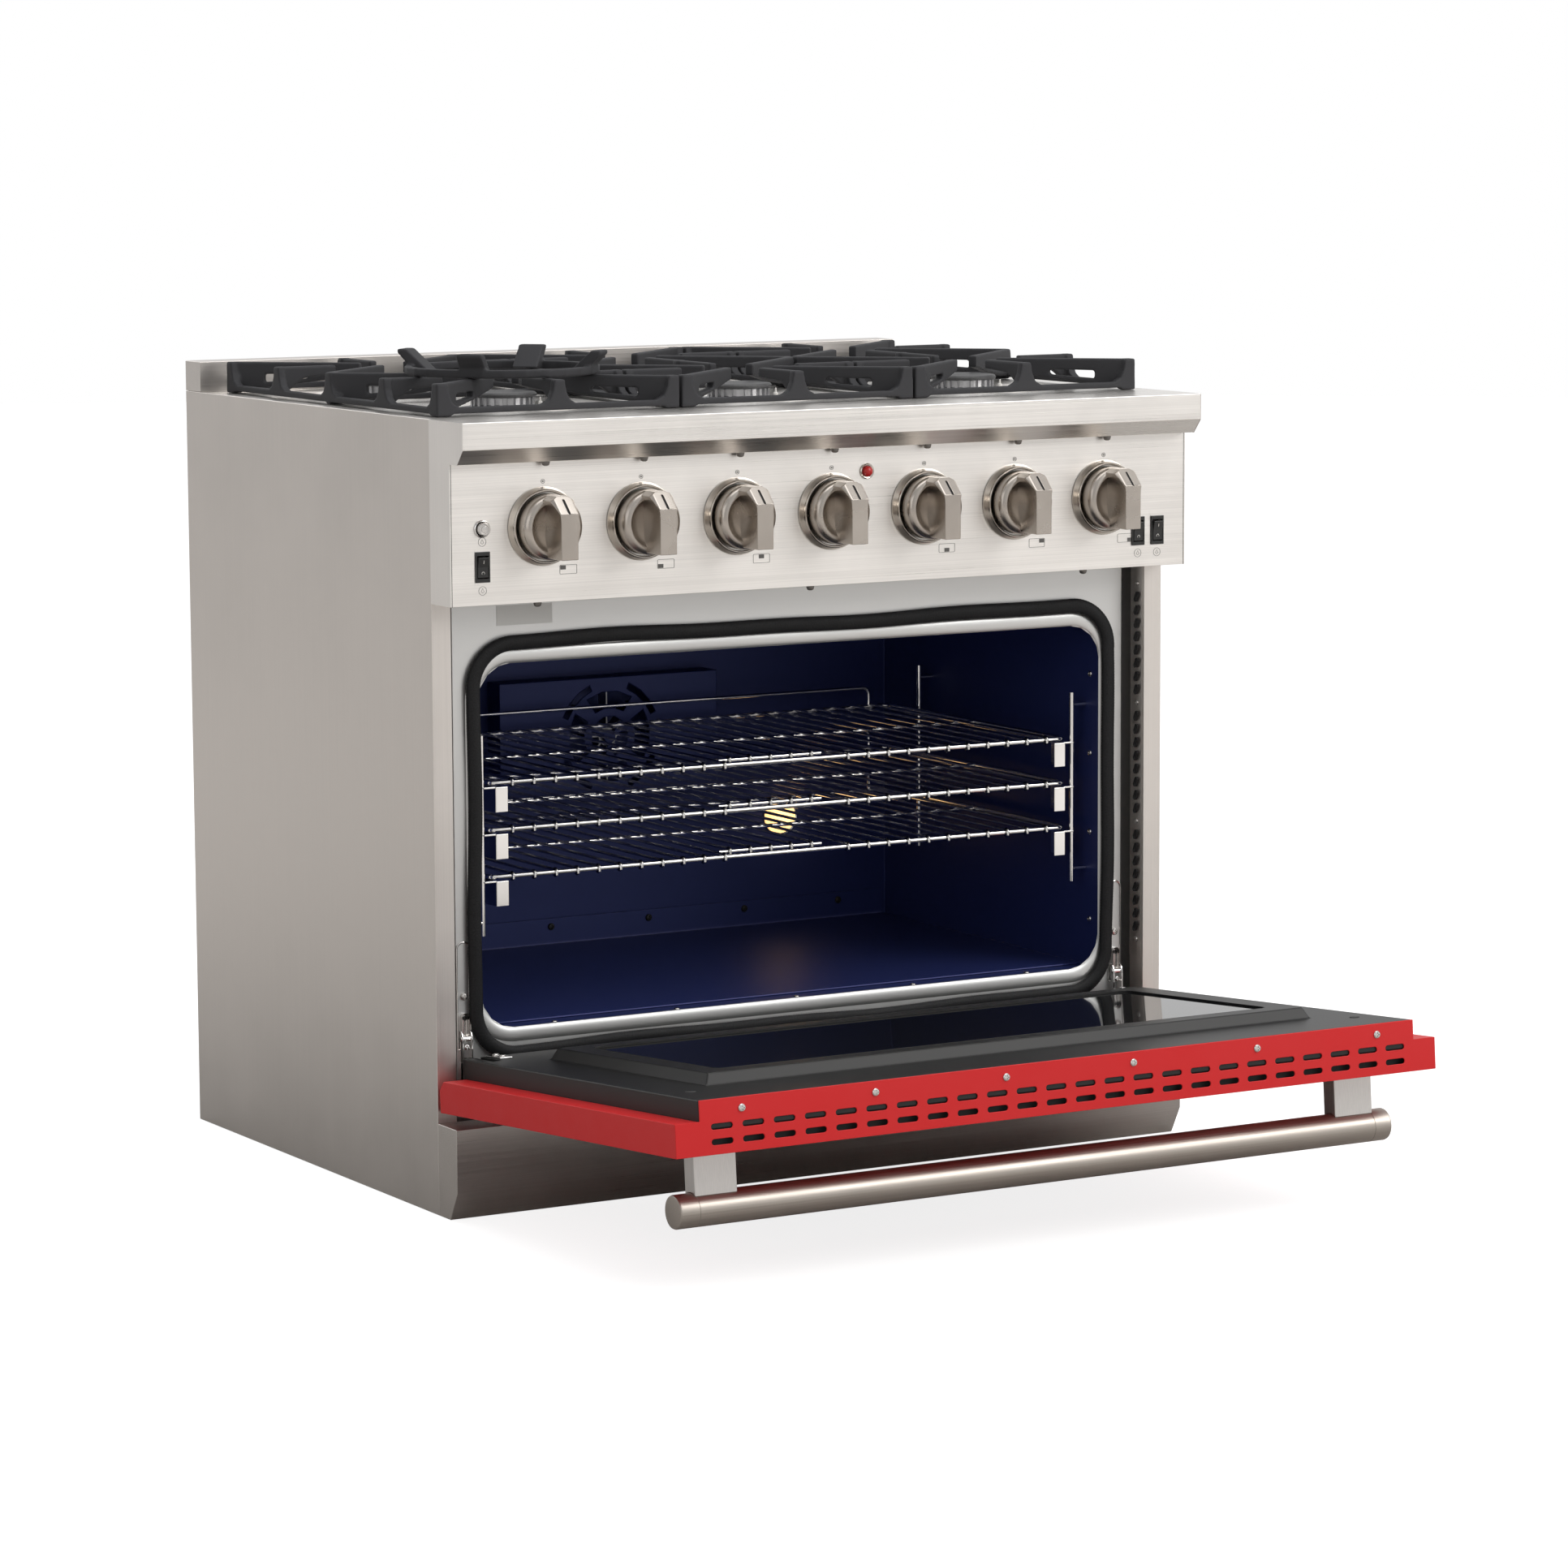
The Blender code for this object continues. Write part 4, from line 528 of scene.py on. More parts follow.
def repeated(name, original, places):
    """Copies of a piece at each matrix, joined as one; the original goes."""
    copies = []
    for place in places:
        copy = bpy.data.objects.new(name, original.data.copy())
        bpy.context.scene.collection.objects.link(copy)
        copy.data.transform(place)
        copies.append(copy)
    bpy.data.objects.remove(original)
    return joined(name, copies)


def cut_away(piece, cutter):
    """Takes a cutter's shape out of a piece and deletes the cutter."""
    apply_modifier(piece, "BOOLEAN", object=cutter, operation="DIFFERENCE", solver="EXACT", use_self=True)
    bpy.data.objects.remove(cutter)


def finished(piece, body, material, replaces=(), angle=35, weighted=True):
    """Places a piece's mesh, shades it and tells the frame what it is."""
    select_only(piece)
    bpy.ops.object.transform_apply(location=True, rotation=True, scale=True)
    if weighted:
        flatten_shading(piece, angle)
    else:
        bpy.ops.object.shade_smooth_by_angle(angle=math.radians(angle))
    piece.data.materials.clear()
    piece.data.materials.append(bpy.data.materials[material])
    piece.data.name = piece.name
    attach(piece, body)
    if replaces:
        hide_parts(*replaces)
    return piece


def swung(piece):
    """Turns a piece that was modelled on the shut door to where the door rests."""
    piece.data.transform(SWING)
    return piece


def softened(node, body, material, edge=None, segments=2, angle=30):
    """A frame node's shape with rounded edges, standing for the node."""
    piece = copy_of(node, f"{node}_shell")
    round_edges(piece, edge or sizes().sheet_edge, segments, angle)
    return finished(piece, body, material, (node,))


def capsule(name, length, width, depth, along, facing):
    """A round-ended bar for slots and marks, lying at the origin."""
    piece = block(name, (-length / 2, -width / 2, -depth / 2), (length / 2, width / 2, depth / 2), 0)
    select_only(piece)
    bpy.ops.object.mode_set(mode="EDIT")
    bpy.ops.mesh.select_all(action="DESELECT")
    bpy.ops.object.mode_set(mode="OBJECT")
    for edge in piece.data.edges:
        ends = [piece.data.vertices[v].co for v in edge.vertices]
        edge.select = abs(ends[0].z - ends[1].z) > depth / 2
    bpy.ops.object.mode_set(mode="EDIT")
    bpy.ops.mesh.bevel(offset=width * 0.49, segments=5)
    bpy.ops.object.mode_set(mode="OBJECT")
    along, facing = Vector(along).normalized(), Vector(facing).normalized()
    turn = Matrix((along, facing.cross(along), facing)).transposed().to_4x4()
    piece.data.transform(turn)
    return piece


def plate(name, outline, first, second):
    """A flat plate across X between two places, with an outline of (y, z) points."""
    select_only()
    bpy.ops.mesh.primitive_circle_add(vertices=len(outline), radius=1, fill_type="NGON", location=(0, 0, 0))
    piece = bpy.context.object
    piece.name = name
    for vertex, (y, z) in zip(piece.data.vertices, outline):
        vertex.co = (first, y, z)
    bpy.ops.object.mode_set(mode="EDIT")
    bpy.ops.mesh.select_all(action="SELECT")
    bpy.ops.mesh.extrude_region_move(TRANSFORM_OT_translate={"value": (second - first, 0, 0)})
    bpy.ops.mesh.select_all(action="SELECT")
    bpy.ops.mesh.normals_make_consistent(inside=False)
    bpy.ops.object.mode_set(mode="OBJECT")
    return piece


def screw_head(name, radius=0.0032, height=0.0018):
    """A pan-head screw with a cross recess, facing up from the origin."""
    profile = [(0, -0.0005), (radius, -0.0005), (radius, height * 0.4), (radius * 0.8, height * 0.85),
               (radius * 0.4, height),
               (0, height)]
    head = lathe(name, profile, (0, 0, 0), (0, 0, 1), 16)
    long, thin = radius * 0.62, radius * 0.14
    for size in ((long, thin), (thin, long)):
        cut_away(head, block("recess", (-size[0], -size[1], height * 0.35), (size[0], size[1], height * 2),
                             0))
    return head


def facing(place, normal):
    """The matrix that stands a piece made facing up at a place, along a normal."""
    turn = Vector((0, 0, 1)).rotation_difference(Vector(normal)).to_matrix().to_4x4()
    return Matrix.Translation(place) @ turn


def arc(centre, radius, start, end, steps):
    """Points on an arc, with angles in degrees."""
    angles = [math.radians(start + (end - start) * k / steps) for k in range(steps + 1)]
    return [(centre[0] + radius * math.cos(a), centre[1] + radius * math.sin(a)) for a in angles]


def rounded(half, low, high, radius, steps):
    """Outline of a round-cornered rectangle centred across the range."""
    points = arc((half - radius, high - radius), radius, 0, 90, steps)
    points += arc((radius - half, high - radius), radius, 90, 180, steps)
    points += arc((radius - half, low + radius), radius, 180, 270, steps)
    return points + arc((half - radius, low + radius), radius, 270, 360, steps)


def divided(points, step):
    """The closed outline with its long runs split."""
    result = []
    for k, (x, z) in enumerate(points):
        after = points[(k + 1) % len(points)]
        count = max(1, round(math.dist((x, z), after) / step))
        result += [(x + (after[0] - x) * j / count, z + (after[1] - z) * j / count) for j in range(count)]
    return result


# The range's pieces

class RANGE_OT_materials(bpy.types.Operator):
    """Make every finish"""
    bl_idname = "gas_range.materials"
    bl_label = "Finishes"

    def execute(self, context):
        build_materials()
        return {"FINISHED"}


class RANGE_OT_cabinet(bpy.types.Operator):
    """Round the cabinet's sheets and add their vents, screws and plates"""
    bl_idname = "gas_range.cabinet"
    bl_label = "Cabinet"

    def execute(self, context):
        # The side panels take the darker steel: painted shade.
        for side in SIDES:
            softened(f"side_panel_{side}", "cabinet", "side_steel_painted_shade")
        softened("rear_trim", "cabinet", "trim_steel")
        softened("kick_panel", "cabinet", "trim_steel")
        softened("face_frame", "cabinet", "frame_steel", 0.0008)
        self.end_caps()
        self.channel_vents()
        self.rear_details()
        return {"FINISHED"}

    def end_caps(self):
        """Thin plates closing the ends of the nosing and the control panel, with the seam beside them."""
        low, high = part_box("cooktop")
        outline = [(FRONT + 0.0003, PANEL_LOW), (PANEL_FACE, PANEL_LOW), (PANEL_FACE, PANEL_HIGH),
                   (low.y + 0.0133, PANEL_HIGH), (low.y, PANEL_HIGH + 0.0156), (low.y,
                                                                                high.z), (FRONT + 0.0003,
                                                                                          high.z)]
        for side, sign in SIDES.items():
            cap = plate(f"end_cap_{side}", outline, sign * (HALF - 0.0003), sign * HALF)
            finished(cap, "cabinet", "cap_steel")
            x0, x1 = sorted((sign * (HALF - 0.0014), sign * (HALF - 0.0020)))
            seam = block(f"panel_seam_{side}", (x0, PANEL_FACE - 0.0001, PANEL_LOW),
                         (x1, PANEL_FACE + 0.0004, PANEL_HIGH), 0)
            finished(seam, "cabinet", "painted_recess_shade_and_dark_seam")

    def channel_vents(self):
        """Slanted slots down the folded edge beside the door's frame."""
        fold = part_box("side_panel_left")[1].x
        for side, sign in SIDES.items():
            low, high = MOUTH_LOW + 0.03, MOUTH_HIGH + 0.07
            face = sign * abs(fold) - sign * 0.0004
            strip = block(f"vent_strip_{side}", (min(face, face + sign * 0.0003), FRONT + 0.003, low - 0.02),
                          (max(face, face + sign * 0.0003), FRONT + 0.026, high + 0.02), 0)
            finished(strip, "cabinet", "trim_steel")
            # The slots are dark bars laid on the strip: painted shade standing for the openings.
            bar = capsule(f"vent_slots_{side}", 0.0120, 0.0054, 0.0006, (0, 0.45, -1), (-sign, 0, 0))
            count = int((high - low) / 0.0150)
            places = [Matrix.Translation((face - sign * 0.0003, FRONT + 0.0125,
                                          low + k * 0.0150)) for k in range(count)
                      if k % 9]
            finished(repeated(f"vent_slots_{side}", bar, places), "cabinet", "painted_recess_shade_and_dark_seam")
            head = screw_head(f"vent_screws_{side}", 0.0026, 0.0014)
            places = [facing((face, FRONT + 0.0125, low + k * 0.0150),
                             (-sign, 0, 0)) for k in range(0, count, 9)]
            finished(repeated(f"vent_screws_{side}", head, places), "cabinet", "bright_screw")

    def rear_details(self):
        """Louvres, screws and a blank rating plate on the back."""
        # The louvres are dark bars on the back: painted shade standing for the openings.
        slot = capsule("rear_louvres", 0.060, 0.006, 0.0008, (1, 0, 0), (0, 1, 0))
        places = [Matrix.Translation((x, BACK, 0.10 + z)) for x in (-0.25, -0.17, 0.17, 0.25)
                  for z in [0.02 * k for k in range(8)]]
        places += [Matrix.Translation((x * 0.08, BACK, z)) for x in range(-4, 5) for z in (0.770, 0.790)]
        finished(repeated("rear_louvres", slot, places), "cabinet", "painted_recess_shade_and_dark_seam")
        head = screw_head("rear_screws")
        spots = [(x, z) for x in (-0.44, 0.44) for z in (0.05, 0.25, 0.45, 0.65, 0.81)]
        spots += [(x, z) for x in (-0.22, 0.0, 0.22) for z in (0.03, 0.825)]
        places = [facing((x, BACK, z), (0, 1, 0)) for x, z in spots]
        finished(repeated("rear_screws", head, places), "cabinet", "bright_screw")
        plate = block("blank_plate", (-0.06, BACK - 0.0005, 0.50), (0.06, BACK + 0.0006, 0.56), 0.0003)
        finished(plate, "cabinet", "blank_label")


class RANGE_OT_cooktop(bpy.types.Operator):
    """Finish the cooktop, its burner dishes and the screws under its nosing"""
    bl_idname = "gas_range.cooktop"
    bl_label = "Cooktop"

    def execute(self, context):
        top = softened("cooktop", "cabinet", "top_steel", 0.0007)
        top.data.transform(Matrix.Diagonal((CAP_ROOM, 1, 1, 1)))
        lift, floor = TOP + 0.0006, TOP - 0.0052
        profile = [(0.1005, TOP - 0.0006), (0.1005, lift - 0.0003), (0.1000, lift), (0.0925, lift),
                   (0.0905, lift - 0.0006),
                   (0.0800, floor + 0.0004), (0.0785, floor), (0.0260, floor), (0.0260, floor - 0.0012),
                   (0.0790, floor - 0.0012), (0.0920, TOP - 0.0006)]
        for side in ("left", "centre", "right"):
            for row in ("front", "rear"):
                low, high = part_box(f"burner_{side}_{row}")
                middle = (low + high) / 2
                dish = lathe(f"dish_{side}_{row}", profile, (middle.x, middle.y, 0), (0, 0, 1), 64)
                finished(dish, "cabinet", "top_steel")
        head = screw_head("nosing_screws", 0.0044, 0.0060)
        places = [facing((place.x, PANEL_FACE - 0.007, PANEL_HIGH + 0.0008),
                         (0, 0, -1)) for place in KNOB_PLACES]
        places += [facing((x, PANEL_FACE + 0.012, PANEL_LOW + 0.0004), (0, 0, -1)) for x in (-0.35, -0.02,
                                                                                             0.33)]
        finished(repeated("nosing_screws", head, places), "cabinet", "dark_screw")
        return {"FINISHED"}


class RANGE_OT_burners(bpy.types.Operator):
    """Model each burner's head, cap and igniter"""
    bl_idname = "gas_range.burners"
    bl_label = "Burners"

    def execute(self, context):
        for side in ("left", "centre", "right"):
            for row in ("front", "rear"):
                self.burner(side, row)
        return {"FINISHED"}

    def burner(self, side, row):
        """A ported head on a skirt, a loose cap and a spark electrode."""
        node = f"burner_{side}_{row}"
        low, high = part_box(node)
        x, y, top = (low.x + high.x) / 2, (low.y + high.y) / 2, high.z
        wide = (high.x - low.x) / 2
        seat = TOP - 0.0050
        head = lathe(f"{node}_head", [(0, low.z), (0.022, low.z), (0.022, seat), (wide, seat),
                                      (wide - 0.003, seat + 0.004),
                                      (0.034, seat + 0.006), (0.0315, seat + 0.008), (0.0315, top - 0.0065),
                                      (0, top - 0.0065)],
                     (x, y, 0), (0, 0, 1))
        tooth = block("tooth", (0.0305, -0.0018, seat + 0.006), (0.0345, 0.0018, top - 0.0068), 0)
        turns = [Matrix.Translation((x, y, 0)) @ Matrix.Rotation(2 * math.pi * k / 24, 4,
                                                                 "Z") for k in range(24)]
        head = joined(f"{node}_head", [head, repeated("teeth", tooth, turns)])
        finished(head, "cabinet", "cast_aluminium", (node,))
        cap = lathe(f"{node}_cap", [(0, top - 0.0062), (0.0355, top - 0.0062), (0.0368, top - 0.0050),
                                    (0.0368, top - 0.0030),
                                    (0.0350, top - 0.0012), (0.0250, top - 0.0002), (0, top)], (x, y,
                                                                                                0), (0, 0,
                                                                                                     1), 64)
        finished(cap, "cabinet", "burner_cap")
        spark = lathe(f"{node}_igniter", [(0, seat), (0.0028, seat), (0.0028, seat + 0.010),
                                          (0.0012, seat + 0.0115),
                                          (0.0009, seat + 0.0155), (0, seat + 0.016)],
                      (x + 0.030, y - 0.030, 0), (0, 0, 1), 16)
        finished(spark, "cabinet", "ceramic")


class RANGE_OT_castings(bpy.types.Operator):
    """Round the grates and the wok ring as castings"""
    bl_idname = "gas_range.castings"
    bl_label = "Grates and wok ring"

    def execute(self, context):
        for node in ("grate_left", "grate_centre", "grate_right", "wok_ring"):
            piece = copy_of(node, f"{node}_casting")
            apply_modifier(piece, "REMESH", mode="VOXEL", voxel_size=sizes().casting_voxel,
                           use_smooth_shade=True)
            apply_modifier(piece, "SMOOTH", factor=0.5, iterations=2)
            apply_modifier(piece, "DECIMATE", ratio=0.36)
            finished(piece, node, "cast_iron", (node,), 60, weighted=False)
        return {"FINISHED"}


class RANGE_OT_control_panel(bpy.types.Operator):
    """Model the control panel, its bezels, printed marks and small fittings"""
    bl_idname = "gas_range.control_panel"
    bl_label = "Control panel"

    def execute(self, context):
        self.fascia()
        self.bezels()
        self.marks()
        self.button_and_lamp()
        self.switches()
        return {"FINISHED"}

    def fascia(self):
        """A folded box, open behind, with holes for what passes through it."""
        low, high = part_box("control_panel")
        panel = block("control_fascia", (low.x, PANEL_FACE, low.z), (high.x, high.y, high.z), 0)
        select_only(panel)
        bpy.ops.object.mode_set(mode="EDIT")
        bpy.ops.mesh.select_all(action="DESELECT")
        bpy.ops.object.mode_set(mode="OBJECT")
        for face in panel.data.polygons:
            face.select = face.normal.y > 0.5
        bpy.ops.object.mode_set(mode="EDIT")
        bpy.ops.mesh.delete(type="FACE")
        bpy.ops.object.mode_set(mode="OBJECT")
        apply_modifier(panel, "SOLIDIFY", thickness=SHEET, offset=-1, use_even_offset=True)
        for side in ("left", "middle", "right"):
            low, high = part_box(f"rocker_switch_{side}")
            grow = Vector((0.0012, 0.02, 0.0012))
            cut_away(panel, block("hole", low - grow, high + grow, 0))
        spots = [(place.x, place.z, 0.006) for place in KNOB_PLACES]
        for node in ("push_button", "indicator_lamp"):
            middle = sum(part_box(node), Vector()) / 2
            spots.append((middle.x, middle.z, 0.0062 if node == "indicator_lamp" else 0.0082))
        for x, z, radius in spots:
            hole = lathe("hole", [(0, -0.02), (radius, -0.02), (radius, 0.02), (0, 0.02)],
                         (x, PANEL_FACE, z), (0, -1, 0), 24)
            cut_away(panel, hole)
        round_edges(panel, 0.0005)
        panel.data.transform(Matrix.Diagonal((CAP_ROOM, 1, 1, 1)))
        finished(panel, "cabinet", "front_steel", ("control_panel",))

    def bezels(self):
        """A stepped ring round each knob."""
        profile = [(0.0362, 0.0005), (0.0415, 0.0005), (0.0415, 0.0022), (0.0411, 0.0030), (0.0396, 0.0074),
                   (0.0388, 0.0096), (0.0380, 0.0102), (0.0372, 0.0102), (0.0364, 0.0094), (0.0362, 0.0080)]
        ring = lathe("knob_bezels", profile, (0, 0, 0), (0, -1, 0), 64)
        places = [Matrix.Translation((place.x, PANEL_FACE, place.z)) for place in KNOB_PLACES]
        finished(repeated("knob_bezels", ring, places), "cabinet", "bezel_nickel")

    def marks(self):
        """Printed dots, burner-position boxes and round icons without lettering."""
        face = PANEL_FACE - 0.00012
        made = []
        ring = lathe("mark", [(0.0019, 0), (0.0023, 0), (0.0023, 0.0002), (0.0019, 0.0002)], (0, 0, 0),
                     (0, -1, 0), 24)
        dot = lathe("mark", [(0, 0), (0.0009, 0), (0.0009, 0.0002), (0, 0.0002)], (0, 0, 0), (0, -1, 0), 12)
        above = [Matrix.Translation((place.x, face, PANEL_HIGH - 0.0215)) for place in KNOB_PLACES]
        made += [repeated("mark", ring, above), repeated("mark", dot, above)]
        cells = {0: (-1, 1), 1: (-1, -1), 2: (0, 1), 4: (0, -1), 5: (1, 1), 6: (1, -1)}
        for k, (column, row) in cells.items():
            x, z = KNOB_PLACES[k].x + 0.029, KNOB_PLACES[k].z - 0.0465
            outline = rounded(0.010, -0.0047, 0.0047, 0.001, 3)
            made.append(wire("mark", [(x + a, face, z + b) for a, b in outline], 0.00022, True, 1))
            a, b = x + column * 0.0062, z + row * 0.0021
            made.append(block("mark", (a - 0.0031, face - 0.0002, b - 0.0021),
                              (a + 0.0031, face, b + 0.0021), 0))
        icons = [(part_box(f"rocker_switch_{side}"), -0.0135) for side in ("left", "middle", "right")]
        icons.append((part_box("push_button"), -0.0060))
        for (low, high), below in icons:
            x, z = (low.x + high.x) / 2, low.z + below
            outline = arc((x, z), 0.0045, 0, 345, 23)
            made.append(wire("mark", [(a, face, b) for a, b in outline], 0.0002, True, 1))
            outline = [(x, z + 0.0026), (x + 0.0018, z - 0.0010), (x, z - 0.0022), (x - 0.0018, z - 0.0010)]
            made.append(wire("mark", [(a, face, b) for a, b in outline], 0.0002, True, 1))
        finished(joined("panel_marks", made), "cabinet", "print_grey")

    def button_and_lamp(self):
        """A ringed push button and a red jewel lamp with a bright collar."""
        middle = sum(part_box("push_button"), Vector()) / 2
        place = (middle.x, PANEL_FACE, middle.z)
        profile = [(0, -0.012), (0.0070, -0.012), (0.0070, 0.0048), (0.0062, 0.0058), (0.0050, 0.0058),
                   (0.0046, 0.0052),
                   (0.0034, 0.0052), (0.0030, 0.0058), (0, 0.0060)]
        button = lathe("button_cap", profile, place, (0, -1, 0), 48)
        finished(button, "push_button", "bright_screw", ("push_button",))
        collar = lathe("button_collar", [(0.0078, 0.0003), (0.0093, 0.0003), (0.0093, 0.0012),
                                         (0.0086, 0.0020), (0.0078, 0.0016)],
                       place, (0, -1, 0), 48)
        finished(collar, "cabinet", "chrome")
        middle = sum(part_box("indicator_lamp"), Vector()) / 2
        place = (middle.x, PANEL_FACE, middle.z)
        lens = lathe("indicator_lens", [(0, -0.012), (0.0058, -0.012), (0.0058, 0.0022), (0.0054, 0.0040),
                                        (0.0038, 0.0058), (0, 0.0068)],
                     place, (0, -1, 0), 48)
        finished(lens, "cabinet", "red_lens", ("indicator_lamp",))
        collar = lathe("indicator_collar", [(0.0062, 0.0003), (0.0085, 0.0003), (0.0085, 0.0016),
                                            (0.0076, 0.0026), (0.0062, 0.0022)],
                       place, (0, -1, 0), 48)
        finished(collar, "cabinet", "bezel_nickel")

    def switches(self):
        """A black surround and a marked rocker for each switch."""
        for side in ("left", "middle", "right"):
            node = f"rocker_switch_{side}"
            hinge = JOINTS[f"rocker_{side}_tilt"]["pos_m"]
            x, z = hinge[0], hinge[2]
            housing = block(f"{node}_surround", (x - 0.0085, PANEL_FACE - 0.0016, z - 0.016),
                            (x + 0.0085, PANEL_FACE - 0.0001, z + 0.016), 0.0006, 3)
            cut_away(housing, block("hole", (x - 0.0067, PANEL_FACE - 0.01, z - 0.0120),
                                    (x + 0.0067, PANEL_FACE + 0.01, z + 0.0120), 0))
            finished(housing, "cabinet", "black_plastic")
            softened(node, f"rocker_{side}", "black_plastic", 0.0006, 3, 12)
            stroke = capsule("stroke", 0.0040, 0.0006, 0.0003, (0, 0, 1), (0, -1, 0))
            stroke.data.transform(Matrix.Translation((0, -0.0030, 0.0062)))
            outline = arc((0, -0.0060), 0.0016, 0, 345, 23)
            circle = wire("circle", [(a, -0.0028, b) for a, b in outline], 0.00025, True, 1)
            mark = joined(f"{node}_marks", [stroke, circle])
            mark.data.transform(Matrix.Translation(hinge) @ Matrix.Rotation(math.radians(8), 4, "X"))
            finished(mark, f"rocker_{side}", "ceramic")


class RANGE_OT_knobs(bpy.types.Operator):
    """Model the knobs with their waisted grips and index slots"""
    bl_idname = "gas_range.knobs"
    bl_label = "Knobs"

    def execute(self, context):
        skirt = self.skirt()
        grip = self.grip()
        slot = self.index(0.0196, 0.0019, 0.0004, 0.0011)
        for number, place in enumerate(KNOB_PLACES, 1):
            spot = Matrix.Translation(place)
            body = joined(f"knob_{number}_cap", [self.copy(skirt, spot), self.copy(grip, spot)])
            finished(body, f"knob_{number}", "knob_nickel", (f"knob_{number}",), 28)
            # The index groove's floor is a near-black bar: painted shade in the groove.
            finished(self.copy(slot, spot, f"knob_{number}_index"), f"knob_{number}",
                     "painted_recess_shade_and_dark_seam")
        for original in (skirt, grip, slot):
            bpy.data.objects.remove(original)
        for k in range(1, 8):
            bpy.data.objects[f"valve_stem_{k}"].data.materials.clear()
            bpy.data.objects[f"valve_stem_{k}"].data.materials.append(bpy.data.materials["brass"])
        return {"FINISHED"}

    def copy(self, original, place, name="copy"):
        """A copy of a piece with its own mesh, moved to its place."""
        piece = bpy.data.objects.new(name, original.data.copy())
        bpy.context.scene.collection.objects.link(piece)
        piece.data.transform(place)
        return piece

    def skirt(self):
        """The round body, dished in front and bored behind, round the origin on its stem's axis."""
        profile = [(0.0044, 0), (0.0330, 0), (0.0345, 0.0012), (0.0345, 0.0150), (0.0341, 0.0172),
                   (0.0328, 0.0196),
                   (0.0305, 0.0214), (0.0280, 0.0222), (0.0266, 0.0221), (0.0258, 0.0214), (0.0240, 0.0194),
                   (0.0210, 0.0174), (0.0170, 0.0158), (0.0120, 0.0148), (0.0044, 0.0144)]
        return lathe("skirt", profile, (0, 0, 0), (0, -1, 0), 72)

    def index(self, length, width, depth, below):
        """A round-ended bar lying along the grip's upper slope, some way below its surface."""
        bar = capsule("index", length, width, depth, (0, SLOPE_BACK, SLOPE_UP), (0, -SLOPE_UP, SLOPE_BACK))
        bar.data.transform(Matrix.Translation((0, -0.0475 + SLOPE_UP * below, 0.0239 - SLOPE_BACK * below)))
        return bar

    def grip(self):
        """The bar across the skirt: wider at its upper end, which slopes back and carries the index slot."""
        front, low, high, bend = -0.0550, -0.0315, 0.0338, 0.0166
        bar = block("grip", (-0.0098, front, low), (0.0098, -0.0105, high), 0)
        select_only(bar)
        bpy.ops.object.mode_set(mode="EDIT")
        for height in (-0.0200, -0.0060, 0.0060, 0.0120, 0.0180, 0.0240, 0.0290):
            bpy.ops.mesh.select_all(action="SELECT")
            bpy.ops.mesh.bisect(plane_co=(0, 0, height), plane_no=(0, 0, 1))
        bpy.ops.object.mode_set(mode="OBJECT")
        for vertex in bar.data.vertices:
            rise = max(0, vertex.co.z - 0.008) / (high - 0.008)
            half = sizes().knob_waist + 0.0062 * rise ** 1.6
            root = 1 - 0.22 * (vertex.co.y - front) / 0.0445 * (1 - rise)
            vertex.co.x = math.copysign(min(half, math.sqrt(0.0344 ** 2 - vertex.co.z ** 2)) * root,
                                        vertex.co.x)
        bpy.ops.object.mode_set(mode="EDIT")
        cuts = [((0, front, bend), (0, -SLOPE_UP, SLOPE_BACK))]
        cuts += [((sign * 0.0098, front, bend), (sign * 0.62, -0.55, 0.56)) for sign in (-1, 1)]
        for place, normal in cuts:
            bpy.ops.mesh.select_all(action="SELECT")
            bpy.ops.mesh.bisect(plane_co=place, plane_no=normal, use_fill=True, clear_outer=True)
        bpy.ops.object.mode_set(mode="OBJECT")
        cut_away(bar, self.index(0.0200, 0.0023, 0.0030, 0.0))
        round_edges(bar, 0.0008, 3, 28)
        return bar


